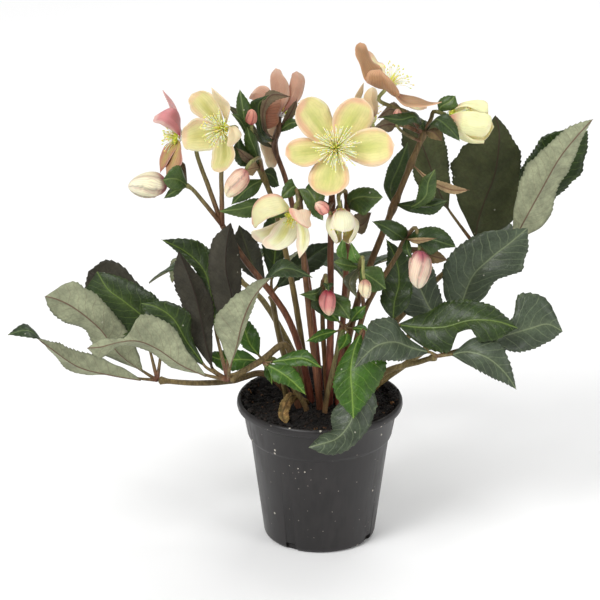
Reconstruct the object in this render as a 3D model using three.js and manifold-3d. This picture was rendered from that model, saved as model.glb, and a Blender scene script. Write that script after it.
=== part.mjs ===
// A Lenten rose (hellebore) in a round nursery pot, in millimetres, +Z up.
// The origin is the middle of the pot's underside, on the surface it stands on.
import * as THREE from 'three';
import { mergeVertices } from 'three/addons/utils/BufferGeometryUtils.js';
import Module from 'manifold-3d';

const wasm = await Module();
wasm.setup();

// Driving dimensions
const clearance = 0.35; // between a piece and what carries it
const potRim = 65; // outer radius at the lip
const potHeight = 115;
const potWall = 1.6;
const potFoot = 44; // outer radius just above the rounded bottom edge
const soilLevel = 107;
const rootDepth = 94; // height at which every stalk ends inside the soil
const bladeThickness = 0.8;
const sepalThickness = 0.9;
const stalkStep = 26; // length of one straight step along a stalk
const bluntEnd = 0.45; // width of a blunt blade's end, as a share of its last row

// ---------------------------------------------------------------- helpers

const vec = (p) => new THREE.Vector3(p[0], p[1], p[2]);

function toSolid(geometry) {
  const bare = geometry.clone();
  for (const name of Object.keys(bare.attributes)) {
    if (name !== 'position') bare.deleteAttribute(name);
  }
  const merged = mergeVertices(bare, 1e-4);
  return new wasm.Manifold(new wasm.Mesh({
    numProp: 3,
    vertProperties: new Float32Array(merged.attributes.position.array),
    triVerts: new Uint32Array(merged.index.array),
  }));
}

function toGeometry(solid) {
  const mesh = solid.getMesh();
  const geometry = new THREE.BufferGeometry();
  geometry.setAttribute('position', new THREE.BufferAttribute(mesh.vertProperties, 3));
  geometry.setIndex(new THREE.BufferAttribute(mesh.triVerts, 1));
  geometry.computeVertexNormals();
  return geometry;
}

function fuse(geometries) {
  return geometries.map(toSolid).reduce((sum, next) => sum.add(next));
}

// The parabola through a blade's base, middle and tip
function bladeCurve(base, mid, tip) {
  const control = vec(mid).multiplyScalar(2)
    .addScaledVector(vec(base), -0.5).addScaledVector(vec(tip), -0.5);
  return new THREE.QuadraticBezierCurve3(vec(base), control, vec(tip));
}

// Half widths of a bent blade, as shares of its widest half
const outlines = {
  leaf: (t) => Math.max(0.03, Math.sin(Math.PI * Math.max(0.002, (t - 0.06) / 0.94) ** 0.85) ** 0.75),
  sepal: (t) => (t < 0.6
    ? 0.09 + 0.91 * Math.sin((Math.PI / 2) * (t / 0.6)) ** 0.8
    : Math.max(0.14, Math.sqrt(1 - ((t - 0.6) / 0.4) ** 2))),
};

// A bent blade: a parabola through its base, middle and tip, one width and the way it faces
function bentFrame({ base, mid, tip, width, face, outline = 'leaf', fold = 0.12, roll = 0 }) {
  const curve = bladeCurve(base, mid, tip);
  return (t) => {
    const tangent = curve.getTangent(t).normalize();
    const facing = vec(face).applyAxisAngle(tangent, roll);
    const side = facing.clone().cross(tangent).normalize();
    const normal = tangent.clone().cross(side);
    const half = 0.5 * width * outlines[outline](t);
    const lift = normal.clone().multiplyScalar(fold * half);
    const margins = [1, -1].map((way) => side.clone().multiplyScalar(way * half).add(lift));
    return { rib: curve.getPoint(t), margins, normal };
  };
}

// A spread blade: smooth lines through rows of left margin, midrib and right margin
function spreadFrame({ start, across, tip, blunt }) {
  const last = across.length / (across.length + 1);
  const lines = [0, 1, 2].map((i) => stalkCurve([start, ...across.map((row) => row[i]), tip]));
  return (t) => {
    const near = Math.min(0.97, Math.max(0.03, t));
    const [left, middle, right] = lines.map((line) => line.getPoint(near));
    const normal = right.clone().sub(left).cross(lines[1].getTangent(near)).normalize();
    const rib = lines[1].getPoint(t);
    const margins = [left, right].map((point, i) => {
      const margin = lines[2 * i].getPoint(t).sub(rib);
      if (blunt && t === 1) {
        return lines[2 * i].getPoint(last).sub(lines[1].getPoint(last)).multiplyScalar(bluntEnd);
      }
      return margin.length() < 0.9 ? point.sub(middle).setLength(t < 0.5 ? 0.9 : 0.4) : margin;
    });
    return { rib, margins, normal };
  };
}

// A blade with a thickness, of two strips, one on each side of the midrib, or of one strip. Teeth cut
// the margins, wave ripples them, and a bite is a piece eaten out of one of them.
function blade({
  rows = 6, columns = 2, wave = 0, ripples = 2, phase = 0, teeth = 0, bite,
  thickness = bladeThickness, ...shape
}) {
  const sheet = new THREE.PlaneGeometry(1, 1, columns, rows);
  const frame = shape.across ? spreadFrame(shape) : bentFrame(shape);
  const count = sheet.attributes.position.count;
  const top = [];
  const bottom = [];
  for (let i = 0; i < count; i += 1) {
    const across = 2 * sheet.attributes.position.getX(i);
    const row = Math.round((0.5 - sheet.attributes.position.getY(i)) * rows);
    const t = row / rows;
    const { rib, margins, normal } = frame(t);
    const notch = row > 1 && row < rows ? 1 + (row % 2 ? teeth : -teeth) : 1;
    const eaten = bite && across * bite[0] > 0
      ? 1 - bite[3] * Math.exp(-(((t - bite[1]) / bite[2]) ** 4)) : 1;
    const margin = margins[across > 0 ? 0 : 1].clone().multiplyScalar(Math.abs(across) * notch * eaten);
    const lift = Math.abs(across) * wave * Math.sin(2 * Math.PI * ripples * t + phase + across)
      * Math.sin(Math.PI * t);
    const point = rib.add(margin).addScaledVector(normal, lift);
    top.push(...point.clone().addScaledVector(normal, thickness / 2).toArray());
    bottom.push(...point.clone().addScaledVector(normal, -thickness / 2).toArray());
  }
  const faces = Array.from(sheet.index.array);
  const under = [];
  for (let i = 0; i < faces.length; i += 3) {
    under.push(faces[i] + count, faces[i + 2] + count, faces[i + 1] + count);
  }
  const at = (column, row) => row * (columns + 1) + column;
  const ring = [];
  for (let row = 0; row < rows; row += 1) ring.push(at(0, row));
  for (let column = 0; column < columns; column += 1) ring.push(at(column, rows));
  for (let row = rows; row > 0; row -= 1) ring.push(at(columns, row));
  for (let column = columns; column > 0; column -= 1) ring.push(at(column, 0));
  const rim = [];
  ring.forEach((a, i) => {
    const b = ring[(i + 1) % ring.length];
    rim.push(a, a + count, b, a + count, b + count, b);
  });
  const geometry = new THREE.BufferGeometry();
  geometry.setAttribute('position', new THREE.Float32BufferAttribute([...top, ...bottom], 3));
  geometry.setIndex([...faces, ...under, ...rim]);
  return geometry;
}


const stalkCurve = (points) => new THREE.CatmullRomCurve3(points.map(vec), false, 'centripetal');
const stalkSteps = (curve) => Math.max(2, Math.round(curve.getLength() / stalkStep));

// A round stalk along a curve through the points, thinning from start to end
function stalk(points, startRadius, endRadius, sides = 5) {
  const curve = stalkCurve(points);
  const steps = stalkSteps(curve);
  const frames = curve.computeFrenetFrames(steps, false);
  const tube = new THREE.CylinderGeometry(endRadius, startRadius, 1, sides, steps);
  const position = tube.attributes.position;
  for (let i = 0; i < position.count; i += 1) {
    const step = Math.round((position.getY(i) + 0.5) * steps);
    const point = curve.getPointAt(step / steps)
      .addScaledVector(frames.normals[step], position.getX(i))
      .addScaledVector(frames.binormals[step], -position.getZ(i));
    position.setXYZ(i, point.x, point.y, point.z);
  }
  return tube;
}

function knob(at, radius) {
  return new THREE.OctahedronGeometry(radius).translate(at[0], at[1], at[2]);
}

// Turns a shape built along +Z to point along a direction, then moves it
function aim(geometry, direction, spin, at) {
  const up = new THREE.Vector3(0, 0, 1);
  const turn = new THREE.Quaternion().setFromUnitVectors(up, vec(direction).normalize());
  const about = new THREE.Quaternion().setFromAxisAngle(up, spin);
  geometry.applyQuaternion(turn.multiply(about));
  geometry.translate(at[0], at[1], at[2]);
  return geometry;
}

// A fixed draw of numbers from 0 to 1, alike in every run
function draws(seed) {
  let state = seed;
  return () => {
    state = (state * 1664525 + 1013904223) % 4294967296;
    return state / 4294967296;
  };
}

// ---------------------------------------------------------------- leaves

// Each leaf: its stalk from the soil to the hub, and the leaflets that spread from the hub. Across
// holds rows of left margin, midrib and right margin; a bent leaflet's face is its upper side's way.
const leaves = {
  leaf_left_far: {
    petiole: [
      [-22, 8, rootDepth], [-24, 8, 112], [-44, 5, 133], [-69, 2, 128], [-98, 0, 127],
      [-127, 1, 129],
    ],
    radius: 2.6,
    leaflets: [
      {
        start: [-140, -3, 132],
        across: [
          [[-161, -8, 148], [-163, -10, 139], [-164, -2, 135]],
          [[-187, -16, 161], [-187, -18, 149], [-194, -10, 142]],
          [[-208, -24, 173], [-210, -26, 170], [-209, -19, 163]],
          [[-221, -36, 180], [-224, -28, 183], [-226, -18, 185]],
        ],
        tip: [-240, -28, 180],
      },
      {
        start: [-138, 0, 137],
        across: [
          [[-142, 2, 153], [-156, -4, 154], [-169, 0, 152]],
          [[-158, -2, 184], [-171, -8, 177], [-184, -4, 174]],
          [[-179, -6, 209], [-191, -11, 196], [-199, -8, 183]],
          [[-193, -4, 213], [-204, -12, 203], [-209, -9, 193]],
        ],
        tip: [-212, -10, 204],
      },
      {
        start: [-133, 12, 150],
        across: [
          [[-128, 28, 170], [-139, 24, 162], [-149, 30, 158]],
          [[-139, 38, 193], [-153, 36, 181], [-170, 40, 174]],
          [[-166, 46, 212], [-169, 44, 194], [-184, 46, 187]],
        ],
        tip: [-182, 48, 202],
      },
      {
        start: [-125, 10, 147],
        across: [
          [[-148, 0, 166], [-135, 14, 173], [-125, 28, 182]],
          [[-177, 2, 177], [-152, 16, 189], [-141, 32, 196]],
          [[-187, 10, 191], [-165, 20, 198], [-158, 34, 203]],
        ],
        tip: [-174, 30, 209],
      },
    ],
  },
  leaf_left_near: {
    petiole: [
      [-16, -10, rootDepth], [-17, -11, 115], [-27, -18, 167], [-45, -30, 159], [-71, -38, 146],
    ],
    radius: 2.9,
    leaflets: [
      {
        start: [-88, -42, 152],
        across: [
          [[-101, -46, 174], [-107, -48, 164], [-111, -40, 156]],
          [[-117, -50, 199], [-124, -54, 179], [-126, -44, 169]],
          [[-135, -54, 209], [-138, -58, 187], [-139, -48, 177]],
          [[-148, -58, 191], [-152, -61, 188], [-155, -54, 181]],
          [[-166, -60, 189], [-166, -62, 184], [-168, -58, 173]],
        ],
        tip: [-177, -62, 183],
      },
      {
        start: [-88, -38, 157],
        across: [
          [[-110, -42, 173], [-102, -36, 177], [-99, -32, 183]],
          [[-125, -38, 188], [-113, -32, 195], [-101, -26, 198]],
          [[-134, -33, 198], [-126, -28, 203], [-115, -23, 205]],
        ],
        tip: [-137, -26, 205],
      },
      {
        start: [-83, -34, 154],
        across: [
          [[-83, -20, 175], [-89, -24, 175], [-99, -22, 173]],
          [[-83, -10, 201], [-94, -14, 198], [-107, -12, 199]],
          [[-92, -2, 215], [-101, -6, 219], [-113, -4, 219]],
        ],
        tip: [-109, 0, 238],
      },
      {
        start: [-81, -5, 174],
        across: [
          [[-91, 4, 199], [-84, 4, 198], [-76, 8, 200]],
          [[-96, 10, 217], [-90, 12, 217], [-82, 18, 225]],
          [[-109, 18, 228], [-104, 20, 229], [-96, 24, 237]],
        ],
        tip: [-123, 24, 238],
      },
      {
        start: [-70, -30, 180],
        across: [
          [[-61, -22, 209], [-67, -30, 207], [-82, -24, 207]],
          [[-61, -20, 233], [-72, -30, 235], [-85, -22, 232]],
          [[-63, -20, 251], [-71, -28, 255], [-83, -20, 252]],
        ],
        tip: [-68, -26, 271],
      },
      {
        start: [-69, -48, 162],
        across: [
          [[-61, -50, 182], [-64, -52, 179], [-76, -50, 182]],
          [[-55, -54, 202], [-59, -56, 202], [-80, -54, 204]],
          [[-48, -57, 222], [-52, -58, 220], [-63, -56, 224]],
          [[-41, -54, 239], [-41, -60, 237], [-43, -65, 240]],
          [[-30, -52, 252], [-27, -60, 247], [-25, -67, 243]],
        ],
        tip: [-6, -60, 240],
      },
    ],
  },
  leaf_young_left: {
    petiole: [
      [-24, -2, rootDepth], [-26, -3, 115], [-35, -8, 150], [-44, -14, 153],
    ],
    radius: 2.2,
    leaflets: [
      {
        start: [-48, -14, 152],
        across: [
          [[-60, -18, 147], [-60, -14, 153], [-60, -9, 159]],
          [[-74, -19, 146], [-76, -14, 153], [-76, -8, 158]],
        ],
        tip: [-91, -12, 158],
      },
      {
        start: [-47, -12, 155],
        across: [
          [[-60, -10, 162], [-54, -8, 163], [-47, -6, 168]],
          [[-64, -4, 173], [-58, -2, 172], [-52, 0, 176]],
        ],
        tip: [-61, 4, 183],
      },
      {
        start: [-43, -18, 149],
        across: [
          [[-36, -19, 149], [-39, -22, 147], [-43, -24, 145]],
        ],
        tip: [-37, -28, 138],
      },
    ],
  },
  leaf_young_front: {
    petiole: [
      [-10, -18, rootDepth], [-11, -20, 115], [-35, -40, 157], [-43, -48, 164],
    ],
    radius: 2,
    leaflets: [
      {
        start: [-41, -50, 164],
        across: [
          [[-29, -50, 164], [-32, -55, 161], [-36, -60, 156]],
          [[-17, -58, 161], [-22, -62, 156], [-25, -66, 153]],
        ],
        tip: [-11, -68, 147],
      },
      {
        start: [-38, -47, 165],
        across: [
          [[-26, -44, 170], [-28, -48, 167], [-27, -52, 163]],
          [[-12, -47, 175], [-13, -52, 170], [-13, -56, 166]],
        ],
        tip: [1, -58, 165],
      },
    ],
  },
  leaf_young_centre: {
    petiole: [
      [4, -20, rootDepth], [4, -21, 115], [14, -24, 168], [18, -26, 185],
    ],
    radius: 2,
    leaflets: [
      {
        start: [14, -28, 183],
        across: [
          [[0, -40, 179], [1, -36, 183], [2, -32, 186]],
        ],
        tip: [-11, -42, 180],
      },
      {
        start: [15, -26, 189],
        across: [
          [[4, -30, 194], [8, -28, 197], [12, -26, 202]],
        ],
        tip: [1, -30, 207],
      },
      {
        start: [23, -26, 189],
        across: [
          [[24, -24, 199], [28, -26, 196], [33, -28, 194]],
        ],
        tip: [35, -26, 203],
      },
      {
        start: [21, -30, 183],
        across: [
          [[24, -37, 178], [19, -38, 178], [14, -38, 179]],
        ],
        tip: [14, -46, 174],
      },
      {
        start: [24, -28, 185],
        across: [
          [[32, -30, 189], [32, -32, 186], [31, -34, 182]],
        ],
        tip: [40, -36, 183],
      },
    ],
  },
  leaf_front_hanging: {
    petiole: [
      [16, -18, rootDepth], [18, -19, 115], [29, -32, 168], [33, -42, 189],
    ],
    radius: 2.4,
    leaflets: [
      {
        start: [31, -44, 188],
        across: [
          [[34, -50, 179], [26, -54, 179], [20, -52, 177]],
          [[49, -60, 170], [23, -66, 166], [11, -64, 164]],
          [[42, -72, 152], [24, -75, 151], [10, -73, 152]],
        ],
        tip: [25, -82, 133],
      },
      {
        start: [30, -58, 159],
        across: [
          [[43, -62, 142], [28, -66, 143], [13, -64, 137]],
          [[38, -74, 125], [23, -76, 128], [8, -70, 128]],
          [[22, -88, 110], [13, -84, 118], [9, -76, 121]],
          [[5, -92, 108], [1, -88, 115], [0, -80, 118]],
        ],
        tip: [-9, -88, 112],
      },
    ],
  },
  leaf_right_front: {
    petiole: [
      [27, -10, rootDepth], [30, -11, 113], [50, -32, 150], [76, -42, 163], [89, -50, 171],
    ],
    radius: 2.6,
    leaflets: [
      {
        start: [84, -52, 175],
        across: [
          [[69, -64, 175], [70, -60, 182], [67, -54, 188]],
          [[56, -78, 179], [55, -72, 192], [56, -60, 206]],
          [[43, -88, 184], [42, -82, 193], [40, -66, 207]],
          [[33, -90, 182], [33, -87, 187], [33, -78, 200]],
        ],
        tip: [25, -90, 178],
      },
      {
        start: [99, -52, 173],
        across: [
          [[120, -52, 188], [112, -58, 178], [114, -62, 168]],
          [[135, -58, 185], [126, -64, 176], [126, -68, 163]],
          [[144, -64, 170], [139, -68, 166], [136, -72, 160]],
        ],
        tip: [149, -70, 152],
      },
      {
        start: [115, -40, 175],
        across: [
          [[136, -28, 187], [130, -34, 178], [131, -40, 174]],
          [[148, -22, 191], [146, -28, 180], [147, -36, 169]],
          [[153, -12, 207], [161, -24, 183], [163, -32, 169]],
          [[173, -12, 203], [175, -20, 185], [177, -26, 174]],
        ],
        tip: [187, -20, 179],
      },
    ],
  },
  leaf_right_upper: {
    petiole: [
      [27, 0, rootDepth], [28, -1, 115], [40, -12, 160], [56, -26, 187],
    ],
    radius: 2.4,
    leaflets: [
      {
        start: [59, -30, 189],
        across: [
          [[78, -28, 197], [76, -36, 189], [73, -44, 180]],
          [[97, -30, 207], [95, -42, 192], [93, -52, 174]],
          [[117, -34, 212], [114, -46, 199], [114, -58, 183]],
          [[136, -42, 205], [133, -50, 200], [134, -58, 189]],
        ],
        tip: [150, -54, 196],
        bite: [-1, 0.57, 0.09, 0.75], // side, place, length, depth
      },
      {
        start: [56, -22, 189],
        across: [
          [[47, -24, 203], [57, -20, 203], [68, -18, 200]],
          [[49, -6, 215], [61, -4, 214], [71, -2, 216]],
          [[52, -2, 234], [58, 0, 232], [67, 2, 233]],
        ],
        tip: [51, 4, 246],
      },
    ],
  },
  leaf_right_middle: {
    petiole: [
      [30, 14, rootDepth], [32, 14, 115], [78, 4, 170], [105, 4, 167],
    ],
    radius: 2.4,
    leaflets: [
      {
        start: [107, 6, 178],
        across: [
          [[96, 4, 202], [112, 8, 197], [127, 4, 197]],
          [[97, 8, 225], [119, 10, 214], [138, 4, 212]],
          [[111, 14, 241], [133, 12, 228], [154, 6, 219]],
          [[135, 14, 249], [147, 12, 240], [160, 8, 235]],
        ],
        tip: [160, 12, 252],
      },
      {
        start: [95, 4, 177],
        across: [
          [[68, 0, 184], [85, 4, 189], [95, 6, 195]],
          [[60, 2, 196], [78, 8, 203], [90, 8, 208]],
          [[62, 6, 211], [71, 10, 216], [88, 10, 218]],
        ],
        tip: [68, 12, 229],
      },
    ],
  },
  leaf_right_back: {
    petiole: [
      [22, 24, rootDepth], [24, 26, 115], [75, 36, 182], [122, 46, 224],
    ],
    radius: 2.6,
    leaflets: [
      {
        start: [122, 46, 229],
        across: [
          [[146, 52, 239], [123, 48, 241], [115, 52, 242]],
          [[158, 58, 255], [128, 52, 258], [106, 56, 262]],
          [[159, 62, 277], [136, 56, 279], [103, 62, 279]],
          [[155, 62, 298], [139, 58, 300], [110, 62, 299]],
          [[146, 60, 315], [139, 58, 316], [125, 60, 312]],
        ],
        tip: [136, 56, 329],
      },
      {
        start: [101, 58, 250],
        across: [
          [[102, 62, 271], [93, 60, 266], [79, 64, 265]],
          [[100, 66, 288], [85, 64, 288], [71, 68, 283]],
          [[97, 68, 307], [76, 66, 311], [64, 68, 306]],
        ],
        tip: [68, 66, 330],
      },
      {
        start: [132, 56, 227],
        across: [
          [[146, 72, 234], [143, 76, 221], [139, 80, 208]],
          [[162, 98, 209], [153, 100, 198], [145, 104, 188]],
        ],
        tip: [156, 122, 172],
      },
    ],
  },
  leaf_right_far: {
    petiole: [
      [33, 6, rootDepth], [36, 6, 113], [86, 14, 153], [133, 28, 203], [148, 24, 228],
    ],
    radius: 2.6,
    leaflets: [
      {
        start: [149, 24, 235],
        across: [
          [[175, 24, 253], [159, 20, 258], [150, 24, 266]],
          [[183, 22, 279], [170, 16, 282], [156, 22, 294]],
          [[193, 16, 304], [183, 11, 310], [173, 16, 317]],
          [[200, 10, 327], [195, 8, 328], [189, 10, 335]],
        ],
        tip: [207, 6, 343],
      },
      {
        start: [156, 36, 240],
        across: [
          [[155, 38, 289], [168, 40, 268], [182, 38, 265]],
          [[164, 44, 304], [182, 44, 295], [202, 40, 289]],
          [[179, 47, 318], [194, 47, 311], [207, 44, 310]],
        ],
        tip: [207, 48, 319],
      },
    ],
  },
  leaf_centre_back: {
    petiole: [
      [-18, 20, rootDepth], [-20, 22, 113], [-31, 30, 150], [-38, 33, 189],
    ],
    radius: 2.6,
    leaflets: [
      {
        start: [-42, 34, 195],
        across: [
          [[-61, 34, 210], [-53, 37, 213], [-45, 36, 217]],
          [[-68, 38, 228], [-59, 42, 230], [-49, 40, 231]],
        ],
        tip: [-63, 42, 243],
      },
      {
        start: [-38, 36, 197],
        across: [
          [[-44, 42, 218], [-35, 43, 220], [-27, 42, 218]],
          [[-45, 46, 238], [-35, 48, 240], [-25, 46, 238]],
        ],
        tip: [-33, 50, 258],
      },
      {
        start: [-35, 33, 193],
        across: [
          [[-27, 36, 211], [-21, 39, 205], [-17, 38, 198]],
          [[-11, 38, 226], [-4, 42, 219], [2, 40, 211]],
        ],
        tip: [12, 42, 229],
      },
    ],
  },
  leaf_back: {
    petiole: [
      [10, 28, rootDepth], [11, 30, 113], [20, 70, 160], [24, 100, 172],
    ],
    radius: 2.6,
    leaflets: [
      { mid: [-4, 130, 184], tip: [-30, 154, 160], width: 40, face: [-0.2, 0.5, 0.9] },
      { mid: [26, 142, 178], tip: [28, 176, 140], width: 42, face: [0, 0.6, 0.8] },
      { mid: [58, 122, 184], tip: [94, 138, 166], width: 40, face: [0.3, 0.5, 0.9] },
    ],
  },
  leaf_back_left: {
    petiole: [
      [-8, 24, rootDepth], [-10, 26, 113], [-44, 62, 170], [-66, 84, 182],
    ],
    radius: 2.6,
    leaflets: [
      { mid: [-100, 80, 196], tip: [-136, 74, 182], width: 38, face: [-0.4, 0.2, 0.9] },
      { mid: [-94, 112, 192], tip: [-120, 136, 158], width: 40, face: [-0.4, 0.5, 0.8] },
      { mid: [-60, 116, 190], tip: [-54, 152, 166], width: 38, face: [0, 0.6, 0.8] },
    ],
  },
};

function buildLeaf({ petiole, radius, leaflets }, seed) {
  const random = draws(seed);
  const hub = petiole[petiole.length - 1];
  const parts = [stalk(petiole, radius * 1.15, radius * 0.8, 4), knob(hub, radius * 1.3)];
  for (const leaflet of leaflets) {
    const phase = 6 * random();
    if (leaflet.across) { // on its own short stalk
      const into = vec(leaflet.start).lerp(vec(leaflet.across[0][1]), 0.15).toArray();
      parts.push(stalk([hub, leaflet.start, into], radius * 0.62, radius * 0.37, 3));
      const places = leaflet.across.length;
      const grid = { rows: places + (places > 2 ? 1 : 2), columns: places > 1 ? 2 : 1 };
      parts.push(blade({ ...grid, teeth: 0.07, wave: 1.2, phase, ...leaflet }));
    } else {
      const base = vec(leaflet.mid).sub(vec(hub)).setLength(0.6 * radius).add(vec(hub)).toArray();
      parts.push(blade({ base, rows: 3, teeth: 0.08, wave: 1.5, phase, ...leaflet }));
    }
  }
  return fuse(parts);
}

// ---------------------------------------------------------------- blooms

// Each bloom: the point where its sepals spring, the way it faces, and the angles from its axis at
// which sepals leave the middle and end. Its sepals are rows of left margin, midrib and right margin
// and a tip, or take the bloom's length and width with changes of turn, size and width.
const blooms = {
  bloom_front: {
    at: [11, -47, 338], facing: [0.05, -0.9, 0.42], open: [80, 62], spin: 1.01,
    length: 40, width: 30,
    changes: [
      { turn: 0.08, size: 1.02, wide: 0.98 },
      { turn: 0, size: 1.08, wide: 0.95 },
      { turn: -0.19, size: 0.95, wide: 0.76 },
      { turn: -0.24, size: 0.92, wide: 1.04 },
      { turn: 0.31, size: 1.07, wide: 0.98 },
    ],
  },
  bloom_top: {
    at: [51, -2, 372], facing: [0.55, 0, 0.83], open: [80, 60], spin: 0,
    sepals: [
      {
        across: [
          [[45, 2, 385], [40, -9, 383], [34, -14, 379]],
          [[39, 0, 392], [33, -11, 394], [28, -17, 396]],
          [[35, -3, 401], [30, -10, 402], [26, -14, 403]],
        ],
        tip: [29, -8, 408], blunt: true,
      },
      {
        across: [
          [[40, 8, 379], [45, 14, 379], [48, 22, 381]],
          [[37, 14, 388], [40, 20, 386], [44, 27, 382]],
        ],
        tip: [37, 22, 392], blunt: true,
      },
      {
        across: [
          [[57, -16, 369], [48, -20, 376], [39, -14, 376]],
          [[59, -24, 373], [46, -29, 385], [34, -24, 385]],
        ],
        tip: [44, -33, 395], blunt: true,
      },
      {
        across: [
          [[61, -18, 362], [63, -6, 360], [63, 6, 362]],
          [[74, -18, 361], [75, -6, 359], [76, 8, 358]],
          [[83, -17, 361], [84, -10, 360], [85, -3, 359]],
        ],
        tip: [91, -12, 362],
      },
      {
        across: [
          [[66, 18, 355], [64, 12, 355], [63, 4, 355]],
          [[76, 22, 351], [74, 16, 350], [72, 8, 350]],
        ],
        tip: [81, 12, 350], blunt: true,
      },
    ],
  },
  bloom_behind_top: {
    at: [39, 34, 332], facing: [-0.3, 0.85, 0.35], open: [66, 55], spin: 0,
    sepals: [
      {
        across: [
          [[44, 31, 340], [41, 27, 342], [39, 27, 341]],
          [[44, 30, 351], [39, 26, 352], [33, 28, 351]],
        ],
        tip: [40, 28, 361], blunt: true,
      },
      {
        across: [
          [[31, 36, 348], [29, 30, 351], [26, 25, 352]],
          [[33, 35, 355], [30, 30, 357], [28, 26, 358]],
        ],
        tip: [33, 30, 364],
      },
      {
        across: [
          [[35, 31, 346], [32, 33, 339], [28, 34, 334]],
          [[29, 32, 348], [26, 34, 342], [23, 36, 335]],
        ],
        tip: [22, 35, 345], blunt: true,
      },
      {
        across: [
          [[29, 35, 335], [30, 36, 328], [31, 38, 321]],
          [[22, 36, 332], [23, 37, 326], [25, 39, 319]],
        ],
        tip: [18, 38, 323], blunt: true,
      },
      {
        across: [
          [[32, 42, 324], [37, 40, 322], [42, 38, 320]],
          [[30, 46, 314], [35, 44, 314], [39, 42, 313]],
        ],
        tip: [33, 46, 307], blunt: true,
      },
    ],
  },
  bloom_left_pink: {
    at: [-108, 5, 328], facing: [-0.93, 0.1, 0.05], open: [70, 50], spin: 0,
    sepals: [
      {
        across: [
          [[-106, 0, 345], [-109, -8, 344], [-115, -8, 340]],
          [[-111, -5, 355], [-116, -13, 352], [-121, -12, 345]],
        ],
        tip: [-125, -10, 350], blunt: true,
      },
      {
        across: [
          [[-110, 22, 343], [-111, 14, 346], [-113, 6, 347]],
          [[-113, 22, 352], [-115, 15, 353], [-116, 8, 354]],
        ],
        tip: [-120, 14, 363],
      },
      {
        across: [
          [[-112, -6, 319], [-115, 0, 320], [-118, 6, 322]],
          [[-116, -9, 312], [-119, -4, 313], [-122, 2, 314]],
        ],
        tip: [-122, -6, 304],
      },
      {
        across: [
          [[-105, -11, 324], [-109, -6, 322], [-114, 1, 319]],
          [[-105, -19, 316], [-112, -12, 315], [-117, -5, 311]],
        ],
        tip: [-117, -14, 304],
      },
      {
        across: [
          [[-110, 24, 321], [-107, 20, 329], [-109, 20, 336]],
          [[-114, 32, 325], [-111, 30, 331], [-112, 28, 337]],
        ],
        tip: [-115, 34, 336], blunt: true,
      },
    ],
  },
  bloom_left_cream: {
    at: [-72, -31, 348], facing: [-0.68, -0.7, 0.2], open: [72, 60], spin: 0,
    sepals: [
      {
        across: [
          [[-80, -31, 332], [-82, -27, 341], [-83, -30, 354]],
          [[-89, -26, 328], [-91, -21, 339], [-92, -26, 355]],
          [[-99, -22, 328], [-100, -18, 336], [-101, -22, 347]],
        ],
        tip: [-105, -16, 334], blunt: true,
      },
      {
        across: [
          [[-87, -27, 353], [-81, -26, 356], [-75, -30, 364]],
          [[-96, -23, 358], [-89, -20, 364], [-80, -26, 372]],
          [[-98, -20, 363], [-93, -17, 367], [-85, -22, 374]],
        ],
        tip: [-97, -16, 370], blunt: true,
      },
      {
        across: [
          [[-68, -46, 370], [-71, -36, 366], [-75, -27, 363]],
          [[-73, -51, 380], [-76, -41, 375], [-80, -31, 372]],
        ],
        tip: [-81, -42, 384],
      },
      {
        across: [
          [[-68, -46, 354], [-66, -42, 351], [-63, -38, 352]],
          [[-69, -56, 348], [-64, -52, 348], [-59, -46, 348]],
        ],
        tip: [-67, -58, 343], blunt: true,
      },
      {
        across: [
          [[-66, -40, 337], [-72, -34, 335], [-80, -32, 334]],
          [[-64, -44, 330], [-72, -37, 327], [-82, -34, 326]],
        ],
        tip: [-76, -37, 315], blunt: true,
      },
    ],
  },
  bloom_nodding: {
    at: [-21, -48, 286], facing: [-0.35, -0.62, -0.7], open: [45, 30], spin: 0,
    sepals: [
      {
        across: [
          [[-30, -48, 300], [-30, -58, 297], [-28, -66, 294]],
          [[-42, -52, 302], [-41, -62, 297], [-39, -66, 289]],
          [[-50, -55, 296], [-48, -62, 291], [-46, -62, 283]],
        ],
        tip: [-51, -58, 282], blunt: true,
      },
      {
        across: [
          [[-34, -40, 264], [-36, -42, 270], [-37, -45, 276]],
          [[-43, -38, 259], [-45, -40, 265], [-48, -44, 272]],
        ],
        tip: [-52, -40, 265], blunt: true,
      },
      {
        across: [
          [[-16, -44, 275], [-26, -43, 274], [-34, -46, 276]],
          [[-19, -46, 264], [-31, -46, 266], [-39, -49, 270]],
          [[-28, -48, 258], [-37, -50, 262], [-43, -52, 267]],
        ],
        tip: [-41, -52, 260], blunt: true,
      },
      {
        across: [
          [[-9, -42, 271], [-13, -46, 271], [-18, -50, 269]],
          [[-9, -46, 260], [-13, -48, 261], [-18, -50, 260]],
        ],
        tip: [-16, -50, 251],
      },
      {
        across: [
          [[-24, -60, 294], [-16, -57, 291], [-9, -48, 288]],
          [[-21, -65, 290], [-14, -62, 286], [-8, -55, 285]],
        ],
        tip: [-10, -60, 279], blunt: true,
      },
    ],
  },
  bloom_globe: {
    at: [15, -40, 285], facing: [0.1, -0.62, -0.78], open: [40, 0], spin: 0,
    sepals: [
      {
        across: [
          [[10, -51, 286], [16, -55, 288], [23, -50, 287]],
          [[8, -55, 281], [17, -60, 283], [26, -54, 280]],
        ],
        tip: [17, -59, 276], blunt: true,
      },
      {
        across: [
          [[6, -38, 281], [9, -46, 281], [11, -54, 287]],
          [[4, -36, 273], [6, -46, 272], [10, -54, 275]],
        ],
        tip: [12, -46, 262], blunt: true,
      },
      {
        across: [
          [[23, -52, 285], [24, -46, 281], [24, -38, 282]],
          [[24, -53, 275], [27, -46, 273], [28, -36, 273]],
        ],
        tip: [22, -46, 262], blunt: true,
      },
      {
        across: [
          [[28, -38, 276], [22, -31, 273], [17, -28, 274]],
          [[28, -40, 268], [24, -33, 264], [17, -30, 264]],
        ],
        tip: [21, -42, 260], blunt: true,
      },
      {
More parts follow.
